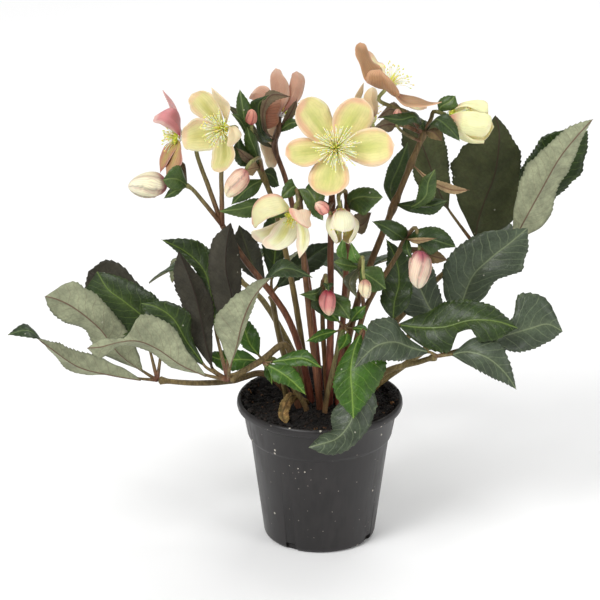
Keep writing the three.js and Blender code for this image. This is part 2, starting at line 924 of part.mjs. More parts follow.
        across: [
          [[16, -28, 274], [10, -33, 274], [6, -38, 277]],
          [[16, -31, 264], [9, -35, 265], [6, -40, 269]],
        ],
        tip: [12, -42, 260], blunt: true,
      },
    ],
  },
  bloom_right_yellow: {
    at: [98, 2, 347], facing: [0.93, -0.35, -0.12], open: [36, -5], spin: 0.5,
    sepals: [
      {
        across: [
          [[103, -6, 335], [106, -10, 346], [109, -8, 354]],
          [[118, -9, 332], [118, -14, 344], [121, -9, 353]],
        ],
        tip: [129, -10, 344], blunt: true,
      },
      {
        across: [
          [[110, -5, 357], [111, 5, 355], [111, 14, 354]],
          [[122, -2, 350], [120, 7, 355], [122, 15, 355]],
        ],
        tip: [127, 7, 353], blunt: true,
      },
      {
        across: [
          [[102, 8, 332], [104, -1, 332], [106, -9, 338]],
          [[114, 9, 325], [114, -2, 327], [117, -12, 333]],
        ],
        tip: [124, -3, 327], blunt: true,
      },
      {
        across: [
          [[113, 17, 341], [114, 15, 333], [113, 12, 326]],
          [[126, 18, 339], [127, 16, 330], [124, 12, 323]],
        ],
        tip: [132, 13, 334], blunt: true,
      },
      {
        across: [
          [[110, 12, 353], [111, 17, 346], [112, 19, 339]],
          [[121, 14, 355], [122, 19, 347], [124, 21, 339]],
        ],
        tip: [128, 19, 344], blunt: true,
      },
    ],
  },
  bloom_back_pink: {
    at: [-31, 22, 341], facing: [0.05, 0.8, 0.55], open: [70, 55], spin: 0,
    sepals: [
      {
        across: [
          [[-24, 22, 354], [-30, 20, 355], [-36, 22, 353]],
          [[-24, 21, 365], [-31, 18, 367], [-38, 21, 364]],
          [[-29, 20, 374], [-34, 18, 374], [-38, 20, 371]],
        ],
        tip: [-34, 19, 379], blunt: true,
      },
      {
        across: [
          [[-16, 26, 351], [-22, 24, 354], [-25, 26, 354]],
          [[-12, 25, 364], [-18, 23, 364], [-24, 25, 362]],
          [[-12, 25, 369], [-17, 23, 371], [-22, 25, 370]],
        ],
        tip: [-18, 24, 375], blunt: true,
      },
      {
        across: [
          [[-39, 22, 362], [-41, 20, 354], [-45, 22, 348]],
          [[-45, 22, 364], [-48, 20, 359], [-52, 22, 353]],
        ],
        tip: [-53, 20, 358], blunt: true,
      },
      {
        across: [
          [[-30, 10, 358], [-34, 7, 346], [-34, 10, 336]],
          [[-37, 7, 358], [-41, 3, 347], [-41, 7, 334]],
        ],
        tip: [-44, 5, 346], blunt: true,
      },
      {
        across: [
          [[-46, 28, 317], [-40, 30, 317], [-35, 32, 315]],
          [[-43, 28, 304], [-40, 30, 305], [-33, 32, 304]],
        ],
        tip: [-38, 30, 294], blunt: true,
      },
    ],
  },
};

// Each bud: where it springs, the way it points, its length and radius
const buds = {
  bud_left: { at: [-116, -18, 299], facing: [-0.97, -0.2, 0], length: 30, radius: 10 },
  bud_hanging: { at: [-56, -52, 323], facing: [-0.55, -0.2, -0.8], length: 25, radius: 7.6 },
  bud_upper_left: { at: [-52, -16, 346], facing: [0, -0.2, 1], length: 13, radius: 4.4 },
  bud_pink: { at: [5, -50, 289], facing: [-0.6, -0.5, 0.6], length: 14, radius: 4.8 },
  bud_low: { at: [5, -36, 220], facing: [0.1, -0.3, -0.95], length: 20, radius: 6.5 },
  bud_middle: { at: [33, -50, 234], facing: [0.15, -0.2, -1], length: 15, radius: 5 },
  bud_right: { at: [75, -36, 252], facing: [0, -0.25, -0.95], length: 29, radius: 9 },
  bud_top: { at: [58, -10, 348], facing: [0, -0.2, 1], length: 9, radius: 3.6 },
};

const sepalCount = 5;
const sepalRoll = 0.2; // each sepal turns about its length, so that it lies over the next
const sepalFoot = [2.8, 1.3]; // where a sepal starts: out from the axis, and behind the disc's face
const degree = Math.PI / 180;
const receptacle = 4.2; // radius of the disc that the sepals spring from
const receptacleDepth = 3;

// A sepal alike the others of its bloom but for its turn, size and width
function bentSepal({ length, width, open, changes }, i) {
  const angle = (2 * Math.PI * i) / sepalCount + changes[i].turn;
  const out = new THREE.Vector3(Math.cos(angle), Math.sin(angle), 0);
  const up = new THREE.Vector3(0, 0, 1);
  const [first, last] = open.map((value) => value * degree);
  const base = out.clone().multiplyScalar(sepalFoot[0]).addScaledVector(up, -sepalFoot[1]);
  const lean = (from, turn) => from.clone()
    .addScaledVector(out, 0.5 * length * changes[i].size * Math.sin(turn))
    .addScaledVector(up, 0.5 * length * changes[i].size * Math.cos(turn));
  const mid = lean(base, first);
  const tip = lean(mid, last);
  const middle = (first + last) / 2;
  const face = out.clone().multiplyScalar(-Math.cos(middle)).addScaledVector(up, Math.sin(middle));
  return blade({
    base: base.toArray(), mid: mid.toArray(), tip: tip.toArray(), face: face.toArray(),
    width: width * changes[i].wide, outline: 'sepal', fold: 0.14, roll: sepalRoll, rows: 4,
    thickness: sepalThickness,
  });
}

function spreadSepal({ at, facing }, sepal) {
  const axis = vec(facing).normalize();
  const away = vec(sepal.across[0][1]).sub(vec(at)).projectOnPlane(axis).normalize();
  const start = vec(at).addScaledVector(away, sepalFoot[0]).addScaledVector(axis, -sepalFoot[1]).toArray();
  return blade({ start, rows: sepal.across.length + 1, thickness: sepalThickness, ...sepal });
}

function buildBloom(bloom) {
  const { at, facing, spin, sepals } = bloom;
  const disc = new THREE.LatheGeometry([
    new THREE.Vector2(0, -receptacleDepth), new THREE.Vector2(2.4, -receptacleDepth),
    new THREE.Vector2(receptacle, 0), new THREE.Vector2(0, 0),
  ], 6).rotateX(Math.PI / 2);
  const parts = [aim(disc, facing, spin, at)];
  for (let i = 0; i < sepalCount; i += 1) {
    parts.push(sepals ? spreadSepal(bloom, sepals[i]) : aim(bentSepal(bloom, i), facing, spin, at));
  }
  return fuse(parts);
}

const stamenCount = 5;
const stamenRadius = 1.1; // at the foot
const stamenLengths = [13, 11]; // of the outer and the inner ones
const coreRadius = 3.2;
const coreHeight = 7.7;

// The boss of a bloom: a low green core with a brush of stamens
function buildBoss({ at, facing, spin, open }) {
  const core = new THREE.SphereGeometry(coreRadius, 5, 3)
    .scale(1, coreHeight / (2 * coreRadius), 1).rotateX(Math.PI / 2)
    .translate(0, 0, coreHeight / 2 + clearance);
  const parts = [core];
  const spread = Math.min(58, 0.75 * open[0]) * degree;
  for (let i = 0; i < stamenCount; i += 1) {
    const inner = i % 2;
    const reach = stamenLengths[inner];
    const stamen = new THREE.ConeGeometry(stamenRadius, reach, 3, 1);
    stamen.rotateX(-Math.PI / 2).translate(0, 0, reach / 2);
    stamen.rotateY(spread * (inner ? 0.5 : 1));
    stamen.translate(0, 0, 2.6).rotateZ((2 * Math.PI * i) / stamenCount);
    parts.push(stamen);
  }
  for (const part of parts) aim(part, facing, spin, at);
  return fuse(parts);
}

// A closed bud: five sepals wrapped round each other, each edge standing over the next
function buildBud({ at, facing, length, radius }) {
  const body = new THREE.SphereGeometry(1, 8, 5).rotateX(Math.PI / 2);
  const position = body.attributes.position;
  for (let i = 0; i < position.count; i += 1) {
    const x = position.getX(i);
    const y = position.getY(i);
    const t = (position.getZ(i) + 1) / 2;
    const around = ((Math.atan2(y, x) / (2 * Math.PI)) * sepalCount + sepalCount) % 1;
    const girth = radius * (1.12 - 0.3 * t) * (0.93 + 0.14 * Math.abs(around - 0.5));
    position.setXYZ(i, x * girth, y * girth, t * length);
  }
  return toSolid(aim(body, facing, 0, at));
}

// ---------------------------------------------------------------- flower stems

// Each stem: its stalks, which end at a bloom or a bud, and its leafy bracts
const stems = {
  stem_front: {
    stalks: [
      {
        points: [[6, -8, rootDepth], [7, -9, 112], [8, -10, 170], [8, -14, 250], [9, -22, 300]],
        radii: [3.2, 2], to: 'bloom_front',
      },
      { points: [[9, -20, 285], [7, -31, 285], [6, -39, 285]], radii: [1.4, 1.1], to: 'bud_pink' },
    ],
    bracts: [
      {
        on: 0, share: 0.75,
        across: [
          [[4, -28, 280], [1, -26, 285], [-2, -22, 288]],
        ],
        tip: [-6, -30, 277],
      },
      {
        on: 0, share: 0.68,
        across: [
          [[17, -24, 274], [13, -26, 278], [11, -24, 281]],
        ],
        tip: [16, -28, 291],
      },
    ],
  },
  stem_left: {
    stalks: [
      {
        points: [[-6, 2, rootDepth], [-7, 2, 112], [-24, 0, 180], [-60, -4, 235], [-75, -6, 261]],
        radii: [2.9, 2.2],
      },
      { points: [[-75, -6, 261], [-84, -6, 289], [-94, 2, 316]], radii: [2, 1.5], to: 'bloom_left_pink' },
      {
        points: [[-75, -6, 261], [-75, -10, 284], [-74, -16, 317]],
        radii: [2, 1.5], to: 'bloom_left_cream',
      },
      { points: [[-75, -6, 261], [-88, -12, 281], [-100, -15, 296]], radii: [1.8, 1.5], to: 'bud_left' },
    ],
    bracts: [
      {
        on: 3, share: 0.74,
        across: [
          [[-104, -6, 312], [-104, -8, 307], [-105, -6, 299]],
        ],
        tip: [-111, -4, 309],
      },
      {
        on: 3, share: 0.73,
        across: [
          [[-107, -24, 296], [-108, -24, 305], [-107, -24, 316]],
          [[-114, -28, 299], [-114, -28, 307], [-113, -27, 314]],
        ],
        tip: [-119, -29, 306],
      },
      {
        on: 3, share: 0.76,
        across: [
          [[-110, -20, 290], [-112, -20, 293], [-113, -18, 296]],
        ],
        tip: [-119, -20, 288],
      },
    ],
  },
  stem_buds: {
    stalks: [
      {
        points: [[-8, 12, rootDepth], [-9, 13, 112], [-20, 8, 198], [-36, -6, 280], [-47, -14, 313]],
        radii: [2.7, 1.9],
      },
      {
        points: [[-44, -13, 308], [-46, -30, 324], [-50, -46, 328]],
        radii: [1.6, 1.3], to: 'bud_hanging',
      },
      { points: [[-46, -13, 310], [-49, -15, 318]], radii: [1.6, 1.3], to: 'bud_upper_left' },
    ],
    bracts: [
      {
        on: 0, share: 0.99,
        across: [
          [[-61, -6, 345], [-57, -8, 345], [-52, -6, 344]],
          [[-64, 0, 357], [-59, -4, 357], [-53, -1, 356]],
        ],
        tip: [-61, 2, 368],
      },
      {
        on: 0, share: 0.99,
        across: [
          [[-60, -15, 344], [-60, -14, 348], [-60, -11, 351]],
        ],
        tip: [-67, -14, 354],
      },
      {
        on: 0, share: 0.99,
        across: [
          [[-55, -22, 326], [-49, -24, 328], [-45, -16, 323]],
          [[-58, -20, 336], [-53, -24, 338], [-48, -16, 335]],
        ],
        tip: [-55, -18, 345],
      },
      {
        on: 0, share: 0.99,
        across: [
          [[-62, -26, 318], [-57, -26, 323], [-53, -20, 327]],
          [[-66, -24, 327], [-62, -26, 331], [-58, -20, 332]],
        ],
        tip: [-61, -22, 340],
      },
      {
        on: 0, share: 0.99,
        across: [
          [[-52, -32, 327], [-55, -32, 325], [-58, -28, 321]],
        ],
        tip: [-63, -34, 334],
      },
      {
        on: 0, share: 0.99,
        across: [
          [[-52, -32, 323], [-52, -30, 316], [-52, -24, 308]],
        ],
        tip: [-58, -32, 315],
      },
      {
        on: 0, share: 0.97,
        across: [
          [[-36, -4, 307], [-37, -8, 302], [-37, -8, 293]],
        ],
        tip: [-31, -6, 293],
      },
      {
        on: 0, share: 0.94,
        across: [
          [[-50, -16, 289], [-54, -14, 295], [-61, -10, 298]],
        ],
        tip: [-68, -12, 280],
      },
    ],
  },
  stem_back: {
    stalks: [
      {
        points: [[0, 20, rootDepth], [0, 21, 112], [-10, 24, 208], [-26, 28, 284], [-35, 24, 315]],
        radii: [2.7, 1.8], to: 'bloom_back_pink',
      },
    ],
    bracts: [
      {
        on: 0, share: 0.89,
        across: [
          [[-45, 2, 327], [-44, 2, 331], [-41, 1, 335]],
          [[-50, -1, 344], [-47, -1, 348], [-43, -1, 349]],
          [[-53, -1, 358], [-46, -3, 359], [-41, -3, 359]],
        ],
        tip: [-37, -4, 366],
      },
      {
        on: 0, share: 0.91,
        across: [
          [[-40, -2, 336], [-42, -2, 337], [-44, -2, 338]],
          [[-41, -6, 353], [-43, -5, 354], [-45, -4, 356]],
          [[-35, -6, 361], [-37, -4, 365], [-39, -1, 368]],
        ],
        tip: [-23, -4, 364],
      },
      {
        on: 0, share: 0.94,
        across: [
          [[-23, 10, 342], [-22, 8, 339], [-22, 8, 334]],
        ],
        tip: [-14, 6, 340],
      },
      {
        on: 0, share: 0.94,
        across: [
          [[-18, 14, 346], [-22, 14, 346], [-25, 14, 347]],
        ],
        tip: [-18, 12, 357],
      },
      {
        on: 0, share: 0.86,
        across: [
          [[-45, 19, 318], [-45, 20, 322], [-46, 22, 325]],
          [[-59, 21, 332], [-58, 22, 337], [-58, 23, 342]],
        ],
        tip: [-72, 22, 349],
      },
    ],
  },
  stem_nodding: {
    stalks: [
      {
        points: [[0, -14, rootDepth], [0, -15, 112], [-8, -20, 190], [-14, -28, 258], [-16, -34, 298]],
        radii: [2.8, 1.9],
      },
      {
        points: [[-16, -34, 295], [-18, -36, 301]],
        radii: [1.8, 1.5], to: 'bloom_nodding',
      },
    ],
    bracts: [
      {
        on: 1, share: 0.81,
        across: [
          [[-16, -36, 298], [-19, -34, 303], [-22, -30, 308]],
          [[-22, -38, 296], [-25, -37, 300], [-28, -35, 303]],
        ],
        tip: [-30, -38, 294],
      },
      {
        on: 0, share: 0.94,
        across: [
          [[-5, -30, 307], [-11, -34, 301], [-17, -38, 302]],
          [[3, -38, 299], [-4, -44, 295], [-10, -46, 290]],
          [[2, -36, 290], [-1, -40, 285], [-5, -40, 281]],
        ],
        tip: [2, -44, 279],
      },
      {
        on: 0, share: 0.9,
        across: [
          [[-47, -26, 275], [-47, -22, 283], [-47, -16, 287]],
          [[-61, -27, 276], [-62, -24, 281], [-62, -20, 284]],
        ],
        tip: [-77, -26, 280],
      },
    ],
  },
  stem_globe: {
    stalks: [
      {
        points: [[13, -6, rootDepth], [14, -6, 112], [18, -8, 190], [21, -16, 258], [20, -22, 290]],
        radii: [2.8, 1.9],
      },
      { points: [[20, -21, 287], [18, -26, 297]], radii: [1.8, 1.5], to: 'bloom_globe' },
    ],
    bracts: [
      {
        on: 0, share: 0.95,
        across: [
          [[21, -27, 295], [24, -30, 291], [27, -32, 282]],
          [[31, -28, 300], [32, -32, 294], [33, -35, 280]],
          [[40, -31, 300], [40, -34, 294], [40, -36, 288]],
        ],
        tip: [47, -36, 295],
      },
      {
        on: 0, share: 0.87,
        across: [
          [[32, -22, 260], [32, -20, 267], [27, -18, 275]],
        ],
        tip: [39, -20, 277],
      },
      {
        on: 0, share: 0.7,
        across: [
          [[12, -26, 247], [16, -28, 249], [20, -26, 247]],
        ],
        tip: [18, -30, 261],
      },
    ],
  },
  stem_tall: {
    stalks: [
      {
        points: [[13, 12, rootDepth], [14, 12, 112], [30, 8, 195], [56, 4, 272], [80, 4, 336]],
        radii: [3.3, 2.2],
      },
      { points: [[78, 4, 332], [66, -2, 350]], radii: [1.8, 1.5], to: 'bloom_top' },
      { points: [[78, 4, 332], [60, 12, 336]], radii: [1.7, 1.4], to: 'bloom_behind_top' },
      { points: [[78, 4, 331], [84, 8, 342]], radii: [1.8, 1.5], to: 'bloom_right_yellow' },
      { points: [[76, 3, 326], [64, -9, 336]], radii: [1.3, 1.1], to: 'bud_top' },
    ],
    bracts: [
      {
        on: 0, share: 0.99,
        across: [
          [[70, -20, 349], [70, -18, 353], [71, -10, 354]],
          [[60, -24, 348], [60, -22, 352], [60, -16, 355]],
        ],
        tip: [45, -22, 354],
      },
      {
        on: 0, share: 0.99,
        across: [
          [[95, -10, 352], [88, -16, 350], [84, -18, 346]],
          [[102, -16, 346], [97, -20, 344], [91, -22, 342]],
        ],
        tip: [105, -20, 334],
      },
      {
        on: 3, share: 0.81,
        across: [
          [[89, 7, 356], [91, 4, 353], [95, 3, 350]],
          [[95, 6, 361], [98, 3, 358], [103, 1, 354]],
        ],
        tip: [102, 5, 362],
      },
      {
        on: 1, share: 0.45,
        across: [
          [[55, 12, 354], [53, 10, 349], [52, 9, 343]],
        ],
        tip: [43, 10, 342],
      },
      {
        on: 2, share: 0.44,
        across: [
          [[51, 12, 342], [51, 10, 337], [53, 8, 332]],
        ],
        tip: [39, 10, 333],
      },
      {
        on: 0, share: 0.99,
        across: [
          [[83, -10, 333], [86, -12, 338], [91, -8, 340]],
        ],
        tip: [92, -14, 332],
      },
      {
        on: 0, share: 0.99,
        across: [
          [[74, -12, 341], [76, -12, 344], [79, -10, 347]],
        ],
        tip: [72, -14, 339],
      },
      {
        on: 0, share: 0.74,
        across: [
          [[71, -9, 280], [70, -10, 278], [70, -11, 276]],
          [[74, -14, 291], [80, -14, 288], [86, -12, 285]],
          [[76, -13, 300], [82, -15, 300], [88, -12, 296]],
        ],
        tip: [87, -12, 309],
      },
      {
        on: 0, share: 0.74,
        across: [
          [[68, -4, 280], [68, -8, 278], [69, -12, 274]],
          [[82, -2, 282], [85, -8, 278], [87, -12, 273]],
        ],
        tip: [97, -8, 282],
      },
      {
        on: 0, share: 0.73,
        across: [
          [[49, 18, 285], [54, 18, 283], [61, 18, 281]],
          [[54, 20, 302], [61, 20, 301], [68, 20, 295]],
        ],
        tip: [67, 20, 319],
      },
      {
        on: 0, share: 0.88,
        across: [
          [[81, 1, 295], [82, 2, 296], [82, 3, 298]],
          [[101, -2, 285], [99, 0, 288], [98, 2, 292]],
        ],
        tip: [114, -4, 289],
      },
    ],
  },
  stem_right: {
    stalks: [
      {
        points: [[20, 2, rootDepth], [21, 1, 112], [34, -8, 190], [58, -18, 240], [68, -22, 262]],
        radii: [2.7, 1.8],
      },
      { points: [[66, -21, 258], [72, -30, 268]], radii: [1.7, 1.4], to: 'bud_right' },
      { points: [[34, -8, 190], [30, -30, 238], [32, -46, 250]], radii: [1.7, 1.3], to: 'bud_middle' },
    ],
    bracts: [
      {
        on: 0, share: 0.95,
        across: [
          [[54, -36, 261], [57, -34, 265], [66, -28, 266]],
          [[46, -38, 269], [49, -36, 271], [55, -30, 274]],
        ],
        tip: [39, -34, 275],
      },
      {
        on: 0, share: 0.96,
        across: [
          [[74, -30, 267], [74, -36, 262], [76, -38, 256]],
          [[86, -30, 269], [84, -36, 261], [83, -40, 250]],
          [[97, -30, 263], [94, -34, 257], [91, -38, 254]],
        ],
        tip: [103, -34, 254],
      },
      {
        on: 0, share: 0.96,
        across: [
          [[74, -42, 260], [74, -44, 263], [74, -40, 264]],
        ],
        tip: [88, -44, 265],
      },
      {
        on: 0, share: 0.92,
        across: [
          [[85, -30, 239], [86, -28, 244], [88, -24, 248]],
        ],
        tip: [97, -28, 241],
      },
      {
        on: 1, share: 0,
        across: [
          [[69, -36, 254], [66, -38, 253], [62, -36, 252]],
        ],
        tip: [69, -40, 247],
      },
      {
        on: 2, share: 0.6,
        across: [
          [[22, -34, 243], [26, -34, 246], [31, -32, 244]],
        ],
        tip: [23, -30, 257],
      },
      {
        on: 2, share: 0.55,
        across: [
          [[18, -44, 239], [17, -42, 243], [17, -40, 248]],
        ],
        tip: [10, -44, 246],
      },
      {
        on: 2, share: 0.55,
        across: [
          [[35, -33, 238], [33, -36, 234], [31, -37, 228]],
          [[46, -34, 237], [41, -38, 229], [38, -40, 220]],
        ],
        tip: [50, -40, 222],
      },
      {
        on: 2, share: 0.55,
        across: [
          [[27, -40, 227], [22, -40, 227], [17, -38, 229]],
        ],
        tip: [28, -44, 216],
      },
    ],
  },
  stem_short: {
    stalks: [
      { points: [[6, 6, rootDepth], [6, 5, 112], [2, -8, 180], [2, -22, 222]], radii: [2.4, 1.6] },
      { points: [[2, -21, 220], [4, -28, 229]], radii: [1.5, 1.3], to: 'bud_low' },
    ],
    bracts: [
      {
        on: 0, share: 0.96,
        across: [
          [[-3, -38, 212], [-4, -36, 217], [-4, -32, 219]],
        ],
        tip: [-16, -38, 217],
      },
      {
        on: 1, share: 0.81,
        across: [
          [[10, -38, 226], [6, -40, 225], [2, -38, 226]],
        ],
        tip: [6, -42, 221],
      },
      {
        on: 0, share: 0.93,
        across: [
          [[22, -30, 209], [14, -34, 208], [6, -38, 203]],
        ],
        tip: [23, -38, 196],
      },
      {
        on: 0, share: 0.92,
        across: [
          [[6, -24, 199], [0, -22, 202], [-9, -22, 203]],
        ],
        tip: [8, -22, 189],
      },
    ],
  },
};

// The last two points of a stalk, behind the bloom or bud that it carries
function stalkEnd(name) {
  const { at, facing } = blooms[name] ?? buds[name];
  const axis = vec(facing).normalize();
  const back = blooms[name] ? receptacleDepth : 0;
  const behind = (distance) => vec(at).addScaledVector(axis, -distance).toArray();
  return [behind(back + (blooms[name] ? 10 : 6)), behind(back + clearance)];
}

function stalkPoints({ points, to }) {
  return to ? [...points, ...stalkEnd(to)] : points;
}

// A place on the straight steps of a stalk
function alongStalk(points, share) {
  const curve = stalkCurve(points);
  const steps = stalkSteps(curve);
  const step = Math.min(steps - 1, Math.floor(share * steps));
  return curve.getPointAt(step / steps).lerp(curve.getPointAt((step + 1) / steps), share * steps - step);
}

function buildStem({ stalks, bracts }) {
  const parts = stalks.map((part, i) => stalk(stalkPoints(part), ...part.radii, i === 0 ? 5 : 4));
  for (const bract of bracts) {
    const start = alongStalk(stalkPoints(stalks[bract.on]), bract.share).toArray();
    const places = bract.across.length;
    const grid = places === 1 ? { rows: 3, columns: 1 } : { rows: places + 1 };
    parts.push(blade({ start, ...grid, ...bract }));
  }
  return fuse(parts);
}

// ---------------------------------------------------------------- pot and soil

const notchCount = 4; // drain notches in the bottom edge
const notchSize = [9, 7, 9];
const notchTurn = -0.54; // of the first one from the front, towards the left

function buildPot() {
  const profile = [
    [0, 0], [40, 0], [potFoot, 4], [54.4, 84], [56.6, 86], [60.4, 107], [potRim - 0.6, 108.6],
    [potRim, 111], [potRim - 1.2, potHeight], [61.5, potHeight], [60.4 - potWall, 108],
    [56.6 - potWall, 87], [54.2 - potWall, 84], [potFoot - potWall, 4], [0, 3],
  ].map(([x, y]) => new THREE.Vector2(x, y));
  let solid = toSolid(new THREE.LatheGeometry(profile, 24).rotateX(Math.PI / 2));
  for (let i = 0; i < notchCount; i += 1) {
    const notch = new THREE.BoxGeometry(...notchSize).translate(0, -potFoot, 2);
    notch.rotateZ((2 * Math.PI * i) / notchCount + notchTurn);
    solid = solid.subtract(toSolid(notch));
  }
  return solid;
}

const holeSides = 5;
const holeOverrun = 4; // past the stalk's first step

// A rough mound of peat, lower at the rim, with plain holes for the stalks
function buildSoil(stalkHoles) {
  const profile = [
    [0, 3.5], [41.6, 4.5], [51.6, 83.8], [54.2, 87], [57.4, 106], [46, soilLevel + 1],
    [22, soilLevel + 4], [0, soilLevel + 4],
  ].map(([x, y]) => new THREE.Vector2(x, y));
  const body = mergeVertices(new THREE.LatheGeometry(profile, 16).rotateX(Math.PI / 2)
    .deleteAttribute('normal').deleteAttribute('uv'), 1e-3);
  const position = body.attributes.position;
  const random = draws(11);
  for (let i = 0; i < position.count; i += 1) {
    const radius = Math.hypot(position.getX(i), position.getY(i));
    if (position.getZ(i) > soilLevel - 2 && radius < 55 && radius > 1) {
      position.setZ(i, position.getZ(i) + 4 * (random() - 0.5));
    }
  }
  return stalkHoles.reduce((solid, hole) => solid.subtract(hole), toSolid(body));
}

// A plain hole round the first step of a stalk, which ends above the peat
function holeFor(points, radius) {
  const curve = stalkCurve(points);
  const foot = curve.getPoint(0);
  const way = curve.getPointAt(1 / stalkSteps(curve)).sub(foot);
  const depth = way.length() + holeOverrun;
  const bore = (radius + clearance) / Math.cos(Math.PI / holeSides);
  const hole = new THREE.CylinderGeometry(bore, bore, depth + clearance, holeSides, 1).rotateX(Math.PI / 2);
  hole.translate(0, 0, (depth - clearance) / 2);
  return toSolid(aim(hole, way.toArray(), 0, foot.toArray()));
}

// A withered leaf, curled over on its stalk and lying on the peat
const witheredLeaf = {
  start: [-13, -16, 122],
  across: [
    [[-20, -20, 120], [-22, -23, 126], [-24, -24, 129]],
    [[-22, -24, 119], [-26, -26, 121], [-30, -25, 123]],
    [[-24, -28, 114], [-29, -29, 114], [-32, -26, 115]],
    [[-24, -34, 113], [-29, -34, 112], [-32, -31, 112]],
  ],
  tip: [-26, -43, 111],
};
const witheredStalk = [[-9, -9, 113], [-10, -12, 117], [-15, -17.5, 122.5]];

function buildWithered() {
  const sheet = blade({ rows: 7, teeth: 0.12, wave: 1, ...witheredLeaf });
  return fuse([sheet, stalk(witheredStalk, 1.2, 0.8, 4)]);
}

// ---------------------------------------------------------------- assembly

const finishes = {
  pot: { color: 0x3a3838, roughness: 0.5 },
  soil: { color: 0x241810, roughness: 0.95 },
  leaf: { color: 0x3f5c2c, roughness: 0.4 },
  withered: { color: 0x6b5a38, roughness: 0.8 },
  stem: { color: 0x6f4a34, roughness: 0.5 },
  bloom: { color: 0xe2dfa0, roughness: 0.55 },
  boss: { color: 0xd8d070, roughness: 0.6 },
  bud: { color: 0xd99a92, roughness: 0.5 },
};

const plant = new THREE.Group();
plant.name = 'hellebore_in_pot';

function addPiece(name, solid, finish) {
  const material = new THREE.MeshStandardMaterial({ metalness: 0, ...finishes[finish] });
  const mesh = new THREE.Mesh(toGeometry(solid), material);
  mesh.name = name;
  plant.add(mesh);
}

addPiece('pot', buildPot(), 'pot');
const holes = [
  ...Object.values(leaves).map(({ petiole, radius }) => holeFor(petiole, radius * 1.15)),
  ...Object.values(stems).map(({ stalks }) => holeFor(stalkPoints(stalks[0]), stalks[0].radii[0])),
];
addPiece('soil', buildSoil(holes), 'soil');
addPiece('withered_leaf', buildWithered(), 'withered');
Object.entries(leaves).forEach(([name, leaf], i) => addPiece(name, buildLeaf(leaf, i + 1), 'leaf'));
for (const [name, stem] of Object.entries(stems)) addPiece(name, buildStem(stem), 'stem');
for (const [name, bloom] of Object.entries(blooms)) {
  addPiece(name, buildBloom(bloom), 'bloom');
  addPiece(name.replace('bloom', 'boss'), buildBoss(bloom), 'boss');
}
for (const [name, bud] of Object.entries(buds)) addPiece(name, buildBud(bud), 'bud');

export default plant;
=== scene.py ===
import math
import random

import bmesh
import bpy
from mathutils import Matrix, Vector, noise


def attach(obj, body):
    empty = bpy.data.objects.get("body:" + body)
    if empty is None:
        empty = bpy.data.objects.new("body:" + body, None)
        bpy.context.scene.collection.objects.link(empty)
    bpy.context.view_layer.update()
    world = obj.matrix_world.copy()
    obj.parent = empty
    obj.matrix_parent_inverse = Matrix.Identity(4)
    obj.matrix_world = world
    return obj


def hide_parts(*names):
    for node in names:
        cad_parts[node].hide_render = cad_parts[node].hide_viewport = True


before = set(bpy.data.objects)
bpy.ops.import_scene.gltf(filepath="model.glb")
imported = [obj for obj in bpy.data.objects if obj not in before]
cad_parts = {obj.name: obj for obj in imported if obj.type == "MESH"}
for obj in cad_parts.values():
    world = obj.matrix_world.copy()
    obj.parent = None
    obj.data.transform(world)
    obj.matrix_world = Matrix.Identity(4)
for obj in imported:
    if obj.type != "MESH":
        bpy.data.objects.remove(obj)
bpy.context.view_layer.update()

# Lengths below are millimetres in the plant's frame, and finishPiece turns them into metres.
millimetre = 0.001
up = Vector((0, 0, 1))

# Camera, floor and light

view = {
    "aim": (-15.5, 0, 197),
    "distance": 2600,
    "elevation": 22,  # degrees above the level, looking along +Y
    "lens": 201.6,
    "reach": 50,  # metres from the camera that are still drawn
    "floor": 40,  # metres across
}
lamps = {  # place and aim in metres, size in metres, power in watts
    "keyLamp": {"at": (-2.2, -2.6, 3.4), "size": 2.0, "power": 150},
    "fillLamp": {"at": (2.8, -2.2, 1.6), "size": 1.6, "power": 40},
    "topLamp": {"at": (0.8, 1.6, 3.6), "size": 2.2, "power": 60},
}
worldLight = 0.38  # strength of the white surroundings
middleHeight = 0.2  # where the lamps are aimed, in metres


def hexColour(text):  # six hex digits, as seen on a screen, turned into linear light
    parts = [int(text[i:i + 2], 16) / 255 for i in (0, 2, 4)]
    return tuple(c / 12.92 if c <= 0.04045 else ((c + 0.055) / 1.055) ** 2.4 for c in parts)


def blend(first, second, share):
    return tuple(a + (b - a) * share for a, b in zip(first, second))


def ease(low, high, value):  # 0 below low, 1 above high, and smooth between
    t = min(1, max(0, (value - low) / (high - low)))
    return t * t * (3 - 2 * t)


def addObject(name, data):
    made = bpy.data.objects.new(name, data)
    bpy.context.scene.collection.objects.link(made)
    return made


def setStage():
    tilt = math.radians(view["elevation"])
    camera = addObject("camera", bpy.data.cameras.new("camera"))
    away = Vector((0, -math.cos(tilt), math.sin(tilt))) * view["distance"] * millimetre
    camera.location = Vector(view["aim"]) * millimetre + away
    camera.rotation_euler = (math.pi / 2 - tilt, 0, 0)
    camera.data.lens = view["lens"]
    camera.data.clip_end = view["reach"]
    bpy.context.scene.camera = camera

    bm = bmesh.new()
    bmesh.ops.create_grid(bm, x_segments=1, y_segments=1, size=view["floor"] / 2)
    mesh = bpy.data.meshes.new("floor")
    bm.to_mesh(mesh)
    bm.free()
    mesh.materials.append(floorMaterial())
    floor = addObject("floor", mesh)

    for name, lamp in lamps.items():
        light = bpy.data.lights.new(name, "AREA")
        light.energy = lamp["power"]
        light.size = lamp["size"]
        holder = addObject(name, light)
        holder.location = lamp["at"]
        toMiddle = Vector((0, 0, middleHeight)) - Vector(lamp["at"])
        holder.rotation_euler = toMiddle.to_track_quat("-Z", "Y").to_euler()
    world = bpy.data.worlds.new("studio")
    world.use_nodes = True
    world.node_tree.nodes["Background"].inputs["Color"].default_value = (1, 1, 1, 1)
    world.node_tree.nodes["Background"].inputs["Strength"].default_value = worldLight
    bpy.context.scene.world = world
    bpy.context.scene.view_settings.view_transform = "Standard"


# Helpers for the materials

